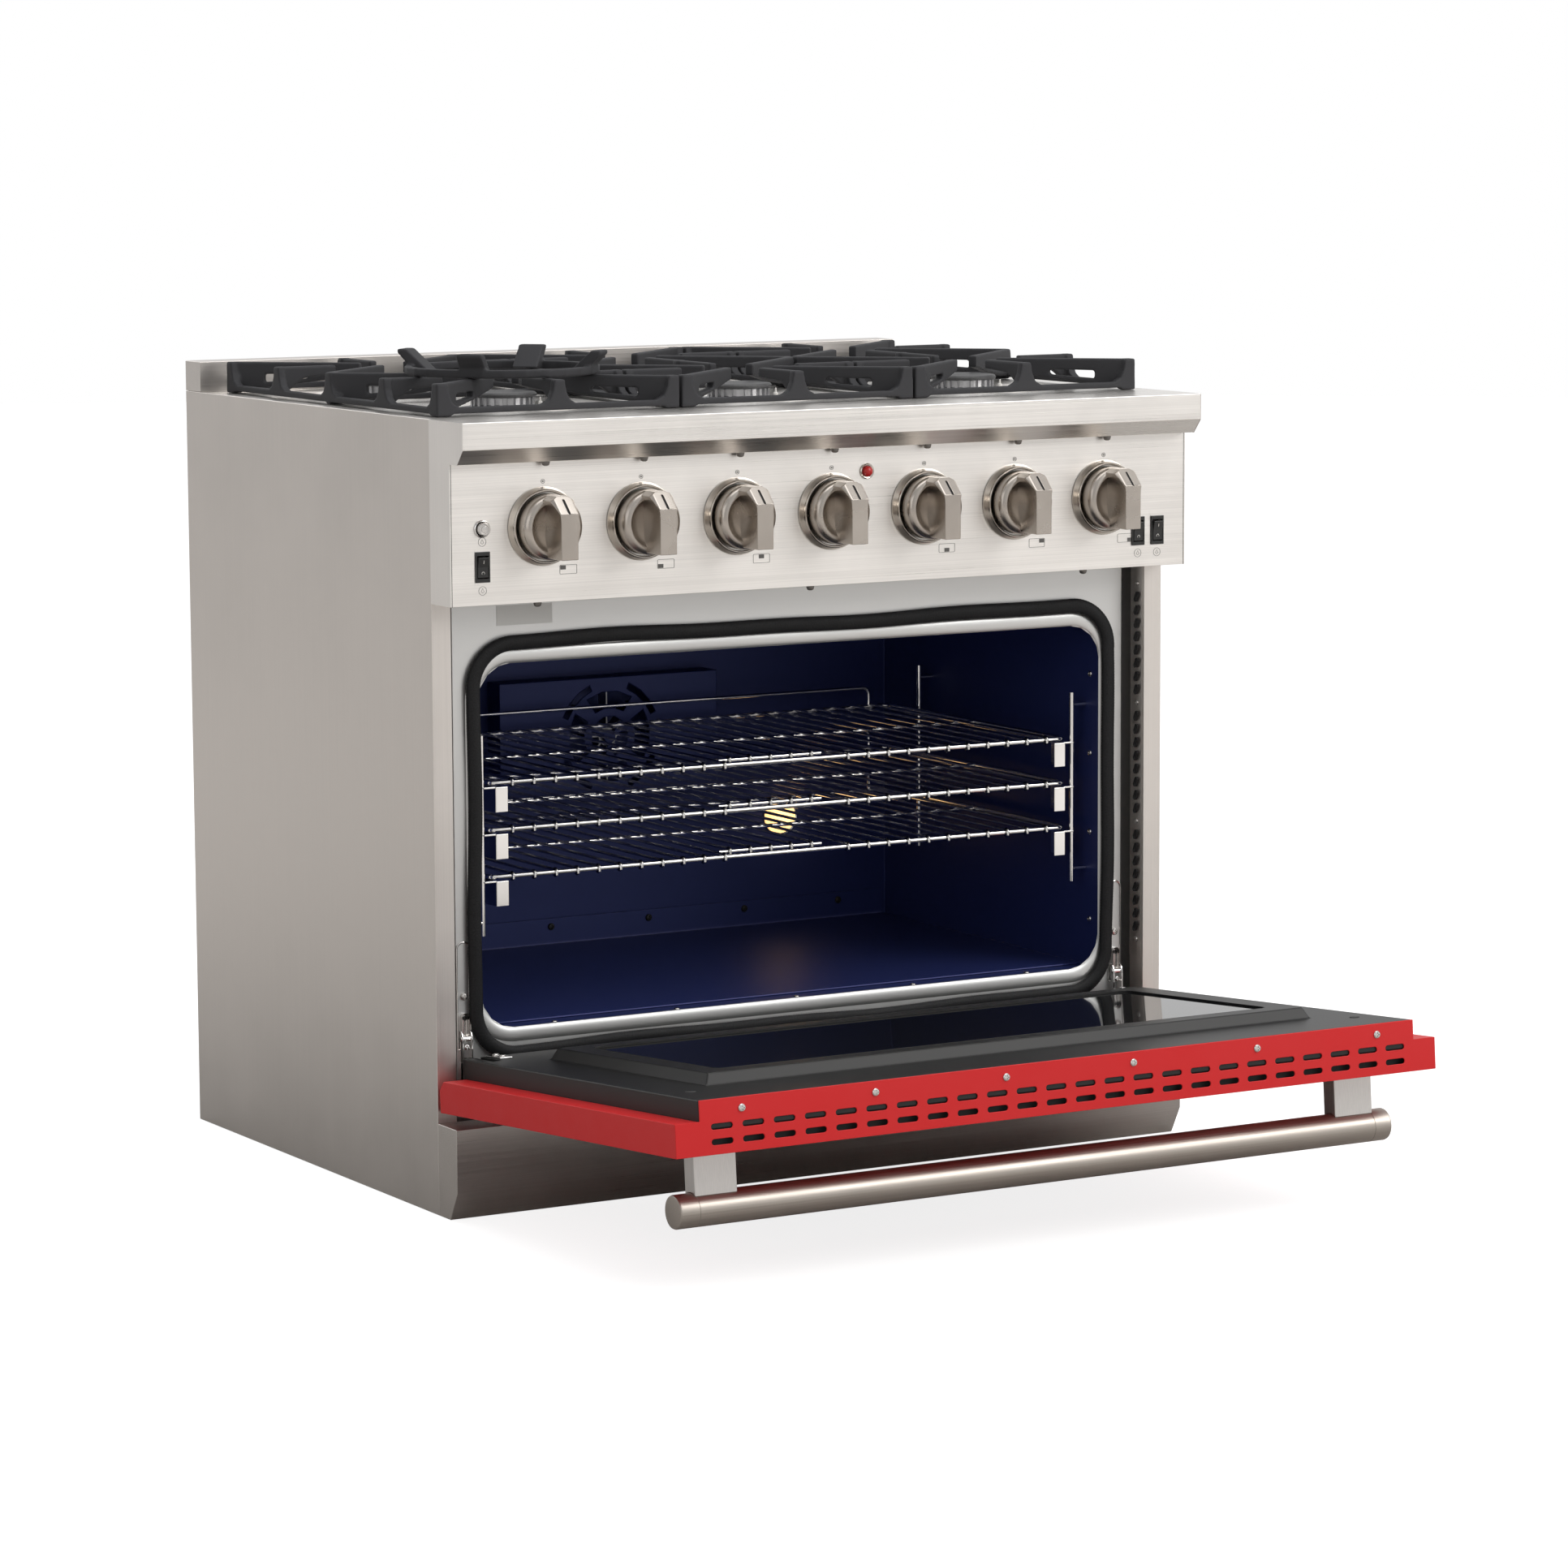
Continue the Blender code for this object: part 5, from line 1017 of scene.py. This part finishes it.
class RANGE_OT_oven(bpy.types.Operator):
    """Finish the oven's inside: walls, floor plate, fan cover, lamp, lip and gasket"""
    bl_idname = "gas_range.oven"
    bl_label = "Oven"

    def execute(self, context):
        softened("oven_liner", "cabinet", "blue_enamel", 0.0012, 3)
        softened("fan_baffle", "cabinet", "blue_enamel", 0.0012, 3)
        fan = bpy.data.objects["convection_fan"]
        fan.data.materials.clear()
        fan.data.materials.append(bpy.data.materials["fan_metal"])
        self.floor_plate()
        self.lamp()
        self.mouth()
        self.gasket()
        self.screws()
        return {"FINISHED"}

    def floor_plate(self):
        """The loose floor with a turned-up back and strips of brighter enamel along its edges as painted
        highlights, and the plate round the fan.
        """
        z = CAVITY_FLOOR + 0.0004
        floor = block("oven_floor_plate", (0.006 - CAVITY_HALF, FRAME_FACE + 0.030, z),
                      (CAVITY_HALF - 0.006, CAVITY_BACK - 0.003, z + 0.0016), 0.0006)
        rise = block("oven_floor_rise", (0.006 - CAVITY_HALF, CAVITY_BACK - 0.0046, z),
                     (CAVITY_HALF - 0.006, CAVITY_BACK - 0.003, z + 0.031), 0.0006)
        finished(joined("oven_floor_plate", [floor, rise]), "cabinet", "blue_enamel")
        # Thin strips of brighter enamel at the floor's front edge and back joint are painted highlights.
        painted_highlight_strips = [block("painted_highlight_strip", (0.050 - CAVITY_HALF, FRAME_FACE + 0.0296, z + 0.0006),
                        (CAVITY_HALF - 0.030, FRAME_FACE + 0.0300, z + 0.0018), 0)]
        painted_highlight_strips.append(block("painted_highlight_strip", (0.008 - CAVITY_HALF, CAVITY_BACK - 0.0056, z + 0.0016),
                            (CAVITY_HALF - 0.008, CAVITY_BACK - 0.0046, z + 0.0030), 0))
        finished(joined("oven_floor_painted_highlights", painted_highlight_strips), "cabinet", "painted_highlight_enamel")
        cover = block("fan_cover_plate", (-0.285, CAVITY_BACK - 0.0022, CAVITY_FLOOR + 0.090),
                      (0.285, CAVITY_BACK - 0.0004, CAVITY_TOP - 0.045), 0.0008)
        hole = block("hole", (-0.10, CAVITY_BACK - 0.02, CAVITY_FLOOR + 0.20),
                     (0.10, CAVITY_BACK + 0.02, CAVITY_FLOOR + 0.29), 0)
        cut_away(cover, hole)
        low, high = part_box("oven_lamp")
        lamp_hole = lathe("hole", [(0, -0.02), (0.024, -0.02), (0.024, 0.02), (0, 0.02)],
                          ((low.x + high.x) / 2, CAVITY_BACK, (low.z + high.z) / 2), (0, 1, 0), 32)
        cut_away(cover, lamp_hole)
        finished(cover, "cabinet", "blue_enamel")

    def lamp(self):
        """A ribbed glass dome in a bright collar."""
        low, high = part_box("oven_lamp")
        x, z = (low.x + high.x) / 2, (low.z + high.z) / 2
        ribs = []
        for k in range(5):
            reach = 0.0025 + 0.0105 * math.sin(math.radians(18 * k + 9))
            ribs += [(0.0200 * math.cos(math.radians(18 * k)), reach - 0.001),
                     (0.0192 * math.cos(math.radians(18 * k + 9)), reach)]
        profile = [(0, -0.002), (0.0200, -0.002)] + ribs + [(0, 0.0135)]
        dome = lathe("lamp_dome", profile, (x, CAVITY_BACK - 0.0004, z), (0, -1, 0), 32)
        finished(dome, "cabinet", "lamp_glow", ("oven_lamp",))
        collar = lathe("lamp_collar", [(0.0203, 0), (0.0230, 0), (0.0230, 0.0025), (0.0222, 0.0035),
                                       (0.0203, 0.0030)],
                       (x, CAVITY_BACK - 0.0008, z), (0, -1, 0), 32)
        finished(collar, "cabinet", "chrome")

    def mouth(self):
        """The bright rolled lip where the frame turns into the oven."""
        wide = 0.0078
        outline = rounded(MOUTH_HALF + wide, MOUTH_LOW - wide, MOUTH_HIGH + wide, 0.047, 12)
        lip = wire("mouth_lip", [(x, 0, z) for x, z in outline], wide + 0.0004, True, 6)
        lip.data.transform(Matrix.Translation((0, FRAME_FACE + 0.0010, 0)) @ Matrix.Diagonal((1, 0.30, 1, 1)))
        finished(lip, "cabinet", "frame_steel", weighted=False)

    def gasket(self):
        """A soft braided seal that wanders a little as it was pressed on."""
        low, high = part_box("door_gasket")
        radius, thick = 0.0082, (high.y - low.y) / 2
        half, middle, tall = high.x - 0.0088, (low.z + high.z) / 2, (high.z - low.z) / 2 - 0.0088
        points = divided(rounded(half, middle - tall, middle + tall, 0.048, 24), 0.0016)
        points = points[:len(points) // 2 * 2]
        path = []
        for k, (x, z) in enumerate(points):
            wander = 0.0012 * math.sin(k * 0.019) + 0.0007 * math.sin(k * 0.047 + 1)
            path.append((x + wander * (x / half) ** 7, 0, z + wander * ((z - middle) / tall) ** 7))
        seal = wire("gasket_seal", path, radius, True, 5, 0.035)
        seal.data.transform(Matrix.Translation((0, (low.y + high.y) / 2,
                                                0)) @ Matrix.Diagonal((1, thick / radius, 1, 1)))
        finished(seal, "cabinet", "gasket_braid", ("door_gasket",), 80, weighted=False)

    def screws(self):
        """Heads along the floor's lip, the floor's back edge, the frame and the walls."""
        head = screw_head("oven_screws", 0.0034, 0.0020)
        places = [facing((x * 0.150, FRAME_FACE + 0.0085, CAVITY_FLOOR + 0.0003),
                         (0, 0, 1)) for x in range(-2, 3)]
        places += [facing((sign * CAVITY_HALF, FRAME_FACE + 0.02, z), (-sign, 0, 0))
                   for sign in (-1, 1) for z in (0.24, 0.34, 0.43, 0.52)]
        finished(repeated("oven_screws", head, places), "cabinet", "bright_screw")
        head = screw_head("rise_screws", 0.0042, 0.0024)
        places = [facing((x * 0.1295, CAVITY_BACK - 0.0046, CAVITY_FLOOR + 0.022),
                         (0, -1, 0)) for x in (-2.5, -1.5, -0.5, 0.5, 1.5, 2.5)]
        finished(repeated("rise_screws", head, places), "cabinet", "black_enamel")
        label = block("blank_label", (-0.368, FRAME_FACE - 0.0004, MOUTH_HIGH + 0.040),
                      (-0.302, FRAME_FACE - 0.00005, MOUTH_HIGH + 0.061), 0)
        finished(label, "cabinet", "blank_label")


class RANGE_OT_racks(bpy.types.Operator):
    """Bend the racks and their guides from chromed wire"""
    bl_idname = "gas_range.racks"
    bl_label = "Racks"

    def execute(self, context):
        for level in ("bottom", "middle", "top"):
            self.rack(level)
        for side, sign in SIDES.items():
            self.guide(side, sign)
        return {"FINISHED"}

    def rack(self, level):
        """A frame with round corners, wires front to back and an upstand behind."""
        low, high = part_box(f"rack_{level}")
        half, front, back = high.x - RACK_RAIL, low.y + RACK_RAIL, high.y - RACK_RAIL
        z = low.z + RACK_RAIL
        pitch, thin = sizes().rack_pitch, sizes().rack_wire
        corner = 0.012
        outline = arc((half - corner, back - corner), corner, 0, 90, 4) + arc((corner - half, back - corner),
                                                                              corner, 90, 180, 4)
        outline += arc((corner - half, front + corner), corner, 180, 270,
                       4) + arc((half - corner, front + corner), corner, 270, 360, 4)
        parts = [wire("rail", [(x, y, z) for x, y in outline], RACK_RAIL, True, 3)]
        middle = (front + back) / 2
        parts.append(wire("rail", [(-half, middle, z - 0.0006), (half, middle, z - 0.0006)], 0.0022))
        setback, gap = front + 0.036, 2.5 * pitch
        parts.append(wire("rail", [(-gap, setback, z), (gap, setback, z)], RACK_RAIL * 0.9))
        over, drop = z + RACK_RAIL * 0.75, z - 0.0010
        beads = []
        for k in range(-13, 14):
            x = k * pitch
            start = setback if abs(x) < gap else front
            path = [(x, start - RACK_RAIL - thin * 0.4, z - RACK_RAIL),
                    (x, start - RACK_RAIL - thin * 0.7, z + RACK_RAIL * 0.2),
                    (x, start - RACK_RAIL * 0.7, over), (x, start + 0.003, over + 0.0004),
                    (x, back - 0.003, over + 0.0004), (x, back + RACK_RAIL * 0.8,
                                                       over), (x, back + RACK_RAIL * 0.9, drop)]
            parts.append(wire("wire", path, thin, False, 2))
            around = [(RACK_RAIL * 0.6, -thin), (RACK_RAIL + thin * 0.9, -thin * 0.9),
                      (RACK_RAIL + thin * 1.5, -thin * 0.3),
                      (RACK_RAIL + thin * 1.5, thin * 0.3), (RACK_RAIL + thin * 0.9,
                                                             thin * 0.9), (RACK_RAIL * 0.6, thin)]
            beads.append(lathe("bead", around, (x, start, z), (1, 0, 0), 14))
        reach, top = half - 0.028, high.z - 0.0022
        stand = [(-reach, back, z), (-reach, back, top - 0.008)] + [
            (a - reach + 0.008, back, b + top - 0.008) for a, b in arc((0, 0), 0.008, 180, 90, 4)]
        stand += [(reach - 0.008 + a, back, top - 0.008 + b) for a,
                  b in arc((0, 0), 0.008, 90, 0, 4)] + [(reach, back, z)]
        parts.append(wire("upstand", stand, 0.0022, False, 3))
        # The beads take the darker chrome as a painted dark reflection.
        finished(joined(f"rack_{level}_beads", beads), f"rack_{level}", "chrome_painted_dark_reflection")
        rack = joined(f"rack_{level}_wires", parts)
        finished(rack, f"rack_{level}", "chrome", (f"rack_{level}",), 50, weighted=False)

    def guide(self, side, sign):
        """Two posts pinned to the wall, a runner and a hanging tab for each rack."""
        low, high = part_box(f"rack_guide_{side}")
        inner = min(abs(low.x), abs(high.x)) + 0.0136
        post = inner + 0.0144
        fore, aft = FRAME_FACE + 0.0295, CAVITY_BACK - 0.110
        parts = []
        for y in (fore, aft):
            parts.append(wire("post", [(sign * post, y, low.z), (sign * post, y, high.z)], 0.0030, False, 3))
            for z in (low.z + 0.014, high.z - 0.014):
                parts.append(wire("pin", [(sign * post, y, z), (sign * (CAVITY_HALF - 0.0005), y, z)],
                                  0.0026, False, 3))
        for level in ("bottom", "middle", "top"):
            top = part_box(f"rack_{level}")[0].z - 0.0004
            x0, x1 = sorted((sign * inner, sign * (inner + 0.0140)))
            parts.append(block("runner", (x0, fore - 0.006, top - 0.002), (x1, aft + 0.010, top), 0.0005))
            x0, x1 = sorted((sign * (inner + 0.001), sign * (inner - 0.0135)))
            tab = block("tab", (x0, fore - 0.0078, top - 0.0275), (x1, fore - 0.0062, top - 0.0002), 0, 1)
            round_edges(tab, 0.0007, 3, 30)
            parts.append(tab)
            x0, x1 = sorted((sign * (inner - 0.0005), sign * (inner + 0.0012)))
            parts.append(block("tab_side", (x0, fore - 0.0075, top - 0.0275),
                               (x1, fore + 0.020, top - 0.0008), 0.0004))
        guide = joined(f"rack_guide_{side}_wires", parts)
        finished(guide, "cabinet", "chrome", (f"rack_guide_{side}",), 40)


class RANGE_OT_door(bpy.types.Operator):
    """Finish the door: vented skin, enamelled liner, glass, handle and screws"""
    bl_idname = "gas_range.door"
    bl_label = "Door"

    def execute(self, context):
        self.bottom, self.top, self.outer, self.inner = self.measure()
        self.skin()
        self.liner()
        self.handle()
        self.hardware()
        return {"FINISHED"}

    def measure(self):
        """The shut door's lowest and highest points and its outer and inner faces."""
        corners = [SHUT @ vertex.co for vertex in bpy.data.objects["door_skin"].data.vertices]
        depths = [corner.y for corner in corners]
        heights = [corner.z for corner in corners]
        return min(heights), max(heights), min(depths), max(depths)

    def skin(self):
        """The painted shell with two rows of slots through its top flange."""
        piece = copy_of("door_skin", "door_skin_shell")
        slot = capsule("slots", 0.0242, 0.0060, 0.02, (1, 0, 0), (0, 0, 1))
        places = [Matrix.Translation(((k - 11.5) * 0.0352, self.inner - depth, self.top)) for k in range(24)
                  for depth in (0.0272, 0.0423)]
        cutter = swung(repeated("slots", slot, places))
        cut_away(piece, cutter)
        round_edges(piece, 0.0006, 2, 30)
        finished(piece, "door", "door_paint", ("door_skin",))
        # A near-black sheet behind the slots gives their look-through black: painted shade.
        backing = block("slot_painted_shade_backing", (-0.425, self.outer + 0.004, self.top - 0.010),
                        (0.425, self.inner - 0.004, self.top - 0.0085), 0)
        finished(swung(backing), "door", "painted_recess_shade_and_dark_seam")

    def liner(self):
        """The inner pan with soft pressed edges, and both panes of glass."""
        softened("door_liner", "door", "black_enamel", 0.0016, 3, 20)
        for node in ("door_glass_inner", "door_glass_outer"):
            softened(node, "door", "oven_glass", 0.0008)

    def handle(self):
        """The brushed bar with capped ends, and its two posts."""
        corners = [SHUT @ vertex.co for vertex in bpy.data.objects["handle_bar"].data.vertices]
        low = Vector(map(min, *corners))
        high = Vector(map(max, *corners))
        middle, radius, half = (low + high) / 2, (high.z - low.z) / 2, high.x
        groove = half - 0.022
        end = [(0, half), (radius - 0.0022, half), (radius - 0.0006, half - 0.0008), (radius, half - 0.0024),
               (radius, groove + 0.0006), (radius - 0.0004, groove + 0.0003), (radius - 0.0004,
                                                                               groove - 0.0003),
               (radius, groove - 0.0006)]
        profile = end + [(r, -along) for r, along in reversed(end)]
        bar = lathe("handle_tube", profile, (0, middle.y, middle.z), (1, 0, 0), 64)
        finished(swung(bar), "door", "handle_steel", ("handle_bar",))
        for side in SIDES:
            softened(f"handle_post_{side}", "door", "post_steel", 0.0010, 3)

    def hardware(self):
        """Cross-head screws on the flange, hinge covers with screws and small holes in the liner."""
        head = screw_head("door_screws", 0.0040, 0.0020)
        places = [facing((x, self.inner - 0.0115, self.top), (0, 0, 1))
                  for s in (-1, 1) for x in (s * 0.0766, s * 0.2297, s * 0.382)]
        places += [facing((s * x, self.inner + 0.0016, self.bottom + u), (0, 1, 0)) for s in (-1, 1) for x,
                   u in ((0.396, 0.014), (0.396, 0.030))]
        finished(swung(repeated("door_screws", head, places)), "door", "bright_screw")
        # The holes are shallow near-black discs: painted shade standing for the openings.
        hole = lathe("liner_holes", [(0, 0), (0.0055, 0), (0.0050, 0.0006), (0.0034, 0.0004), (0, 0.0004)],
                     (0, 0, 0), (0, 0, 1), 24)
        places = [facing((s * 0.402, self.inner + 0.0001, self.bottom + 0.448), (0, 1, 0)) for s in (-1, 1)]
        finished(swung(repeated("liner_holes", hole, places)), "door", "painted_recess_shade_and_dark_seam")
        plates = []
        for sign in (-1, 1):
            x0, x1 = sorted((sign * 0.3885, sign * 0.4035))
            plates.append(block("plate", (x0, self.inner + 0.0003, self.bottom + 0.004),
                                (x1, self.inner + 0.0018, self.bottom + 0.038), 0.0007, 3))
        finished(swung(joined("hinge_covers", plates)), "door", "chrome")


class RANGE_OT_hinges(bpy.types.Operator):
    """Finish the hinge arms and the plates they come out of"""
    bl_idname = "gas_range.hinges"
    bl_label = "Hinges"

    def execute(self, context):
        for side in SIDES:
            softened(f"hinge_arm_{side}", "cabinet", "chrome", 0.0008)
            low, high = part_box(f"hinge_arm_{side}")
            x = (low.x + high.x) / 2
            width = 0.0078
            outline = [(x + a, b) for a, b in arc((0, 0.277), width, 0, 180, 8)] + [(x - width, 0.170),
                                                                                    (x + width, 0.170)]
            bead = wire("bead", [(a, FRAME_FACE - 0.0002, b) for a, b in outline], 0.0011, True, 2)
            # The slot is a near-black capsule on the plate: painted shade standing for the opening.
            slot = capsule("slot", 0.0050, 0.0040, 0.0006, (0, 0, 1), (0, -1, 0))
            slot.data.transform(Matrix.Translation((x, FRAME_FACE - 0.0012, 0.2035)))
            finished(slot, "cabinet", "painted_recess_shade_and_dark_seam").name = f"hinge_slot_{side}"
            head = screw_head("head", 0.0042, 0.0028)
            head.data.transform(facing((x, FRAME_FACE - 0.0002, 0.2267), (0, -1, 0)))
            tongue = capsule("tongue", 0.030, 0.0088, 0.0012, (0, 0, 1), (0, -1, 0))
            tongue.data.transform(Matrix.Translation((x, FRAME_FACE - 0.0007, 0.194)))
            finished(joined(f"hinge_plate_{side}", [bead, head, tongue]), "cabinet",
                     "bright_screw")
            self.claw(side, x)
        return {"FINISHED"}

    def claw(self, side, x):
        """Two round-topped cheeks above the arm, with a pin through them, clear of the shut door."""
        outline = [(FRAME_FACE - 0.0002, 0.1575), (FRAME_FACE - 0.0002, 0.188), (-0.2862, 0.1905),
                   (-0.2888, 0.1900), (-0.2912, 0.1875), (-0.2926, 0.1830), (-0.2930, 0.1760), (-0.2930, 0.1575)]
        cheeks = [plate("cheek", outline, x + offset, x + offset + 0.0014) for offset in (-0.0062, 0.0048)]
        pin = lathe("pin", [(0, -0.0072), (0.0024, -0.0072), (0.0030, -0.0066), (0.0030, 0.0066),
                            (0.0024, 0.0072), (0, 0.0072)],
                    (x, -0.2885, 0.1820), (1, 0, 0), 20)
        head = screw_head("head", 0.0034, 0.0022)
        head.data.transform(facing((x, FRAME_FACE - 0.0060, 0.1730), (0, -1, 0)))
        piece = joined(f"hinge_claw_{side}", cheeks + [pin, head])
        round_edges(piece, 0.0003, 1)
        finished(piece, "cabinet", "chrome")


class RANGE_OT_inner_parts(bpy.types.Operator):
    """Finish what stands inside and behind: base, back, gas pipe, burner tube and motor"""
    bl_idname = "gas_range.inner_parts"
    bl_label = "Inner parts"

    def execute(self, context):
        for node in ("base_pan", "back_panel", "fan_motor", "oven_burner"):
            softened(node, "cabinet", "galvanised", 0.0005)
        softened("gas_manifold", "cabinet", "brass", 0.0006)
        low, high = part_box("gas_manifold")
        place = Vector((high.x - 0.0125, BACK, (low.z + high.z) / 2))
        profile = [(0.0090, 0.0008), (0.0160, 0.0008), (0.0160, 0.0020), (0.0150, 0.0028), (0.0090, 0.0028)]
        washer = lathe("inlet_washer", profile, place, (0, 1, 0), 48)
        finished(washer, "cabinet", "brass")
        return {"FINISHED"}


class RANGE_OT_stage(bpy.types.Operator):
    """Lay the pale floor and set the soft lights and the camera"""
    bl_idname = "gas_range.stage"
    bl_label = "Stage"

    def execute(self, context):
        self.floor()
        self.world()
        self.light("key_light", (2.6, -3.4, 3.0), (0, -0.2, 0.5), 2.6, 92, (1.0, 0.985, 0.965))
        self.light("fill_light", (-3.6, -2.6, 1.8), (0, -0.2, 0.5), 2.6, 14, (1.0, 0.985, 0.965))
        self.light("top_light", (0, -0.3, 4.2), (0, -0.1, 0), 3.2, 52, (1, 1, 1))
        self.light("back_light", (-1.0, 4.2, 2.4), (0, 0, 0.6), 2.4, 26, (1, 1, 1))
        self.oven_glow()
        self.camera()
        return {"FINISHED"}

    def floor(self):
        """A wide disc, evenly white to the camera; in reflections grey-brown and darker near the range as
        painted shade.
        """
        select_only()
        bpy.ops.mesh.primitive_circle_add(vertices=96, radius=14, fill_type="NGON", location=(0, 0, -0.0005))
        floor = bpy.context.object
        floor.name = "studio_floor"
        material = bpy.data.materials.new("studio_floor")
        material.use_nodes = True
        tree = material.node_tree
        shader = tree.nodes["Principled BSDF"]
        shader.inputs["Roughness"].default_value = 0.9
        place = tree.nodes.new("ShaderNodeTexCoord")
        far = tree.nodes.new("ShaderNodeVectorMath")
        far.operation = "LENGTH"
        tree.links.new(place.outputs["Object"], far.inputs[0])
        path = tree.nodes.new("ShaderNodeLightPath")
        # In reflections the floor darkens towards the range as painted shade; the camera sees it evenly white.
        shade = add_range(tree, far.outputs["Value"], 0.7, 2.8, 0.32, 0.75)
        reflected_tone_and_painted_shade = tree.nodes.new("ShaderNodeCombineColor")
        for socket, factor in zip(reflected_tone_and_painted_shade.inputs, (1.0, 0.96, 0.92)):
            tree.links.new(add_math(tree, "MULTIPLY", shade, factor), socket)
        white = path.outputs["Is Camera Ray"]
        tree.links.new(add_mix(tree, white, reflected_tone_and_painted_shade.outputs["Color"], (0.40, 0.40, 0.40, 1)),
                       shader.inputs["Base Color"])
        shader.inputs["Emission Color"].default_value = (1, 1, 1, 1)
        tree.links.new(add_math(tree, "MULTIPLY", white, 0.82), shader.inputs["Emission Strength"])
        floor.data.materials.append(material)

    def world(self):
        """A white surround that lights softly and is dimmer on the left."""
        world = bpy.data.worlds.new("studio")
        world.use_nodes = True
        tree = world.node_tree
        back = tree.nodes["Background"]
        back.inputs["Color"].default_value = (1, 1, 1, 1)
        place = tree.nodes.new("ShaderNodeTexCoord")
        split = tree.nodes.new("ShaderNodeSeparateXYZ")
        tree.links.new(place.outputs["Generated"], split.inputs["Vector"])
        glow = add_range(tree, split.outputs["X"], -0.7, 0.7, 0.46, 0.86)
        path = tree.nodes.new("ShaderNodeLightPath")
        seen = add_range(tree, path.outputs["Is Camera Ray"], 0, 1, glow, 1.0)
        tree.links.new(seen, back.inputs["Strength"])
        bpy.context.scene.world = world
        bpy.context.scene.view_settings.view_transform = "Standard"

    def light(self, name, place, target, size, power, colour):
        """A square soft light aimed at a point."""
        light = bpy.data.lights.new(name, "AREA")
        light.size = size
        light.energy = power
        light.color = colour
        lamp = bpy.data.objects.new(name, light)
        bpy.context.scene.collection.objects.link(lamp)
        lamp.location = place
        lamp.rotation_euler = (Vector(target) - Vector(place)).to_track_quat("-Z", "Y").to_euler()

    def oven_glow(self):
        """The warm bulb behind the oven lamp's dome."""
        low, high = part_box("oven_lamp")
        bulb = bpy.data.lights.new("oven_bulb", "POINT")
        bulb.energy = 0.045
        bulb.color = (1.0, 0.62, 0.30)
        bulb.shadow_soft_size = 0.012
        lamp = bpy.data.objects.new("oven_bulb", bulb)
        bpy.context.scene.collection.objects.link(lamp)
        lamp.visible_glossy = False
        lamp.location = ((low.x + high.x) / 2, CAVITY_BACK - 0.035, (low.z + high.z) / 2)

    def camera(self):
        """A long lens to the left of the front, a little above the cooktop."""
        data = bpy.data.cameras.new("camera")
        data.lens = 122.67
        data.sensor_width = 36
        data.clip_end = 60
        camera = bpy.data.objects.new("camera", data)
        bpy.context.scene.collection.objects.link(camera)
        camera.location = (-2.9109, -5.2777, 1.1907)
        yaw, pitch, roll = math.radians(30.0725), math.radians(-7.5523), math.radians(-0.2665)
        forward = Vector((math.sin(yaw) * math.cos(pitch), math.cos(yaw) * math.cos(pitch), math.sin(pitch)))
        level = forward.to_track_quat("-Z", "Y").to_matrix()
        camera.rotation_euler = (level @ Matrix.Rotation(roll, 3, "Z")).to_euler()
        bpy.context.scene.camera = camera


OPERATORS = (
    RANGE_OT_materials, RANGE_OT_cabinet, RANGE_OT_cooktop, RANGE_OT_burners, RANGE_OT_castings,
    RANGE_OT_control_panel, RANGE_OT_knobs, RANGE_OT_oven, RANGE_OT_racks, RANGE_OT_door, RANGE_OT_hinges,
    RANGE_OT_inner_parts, RANGE_OT_stage,
)


class RANGE_PT_panel(bpy.types.Panel):
    """Lists the range's pieces, sizes and colours"""
    bl_idname = "RANGE_PT_panel"
    bl_label = "Gas range"
    bl_space_type = "VIEW_3D"
    bl_region_type = "UI"
    bl_category = "Gas range"

    def draw(self, context):
        for group in (context.scene.gas_range_sizes, context.scene.gas_range_colours):
            box = self.layout.box()
            for name in group.__annotations__:
                box.prop(group, name)
        for operator in OPERATORS:
            self.layout.operator(operator.bl_idname)


CLASSES = (RangeSizes, RangeColours, *OPERATORS, RANGE_PT_panel)


def register():
    for cls in CLASSES:
        bpy.utils.register_class(cls)
    bpy.types.Scene.gas_range_sizes = bpy.props.PointerProperty(type=RangeSizes)
    bpy.types.Scene.gas_range_colours = bpy.props.PointerProperty(type=RangeColours)


def unregister():
    del bpy.types.Scene.gas_range_colours
    del bpy.types.Scene.gas_range_sizes
    for cls in reversed(CLASSES):
        bpy.utils.unregister_class(cls)


def main():
    register()
    for operator in OPERATORS:
        getattr(bpy.ops.gas_range, operator.bl_idname.split(".")[1])()


if __name__ == "__main__":
    main()
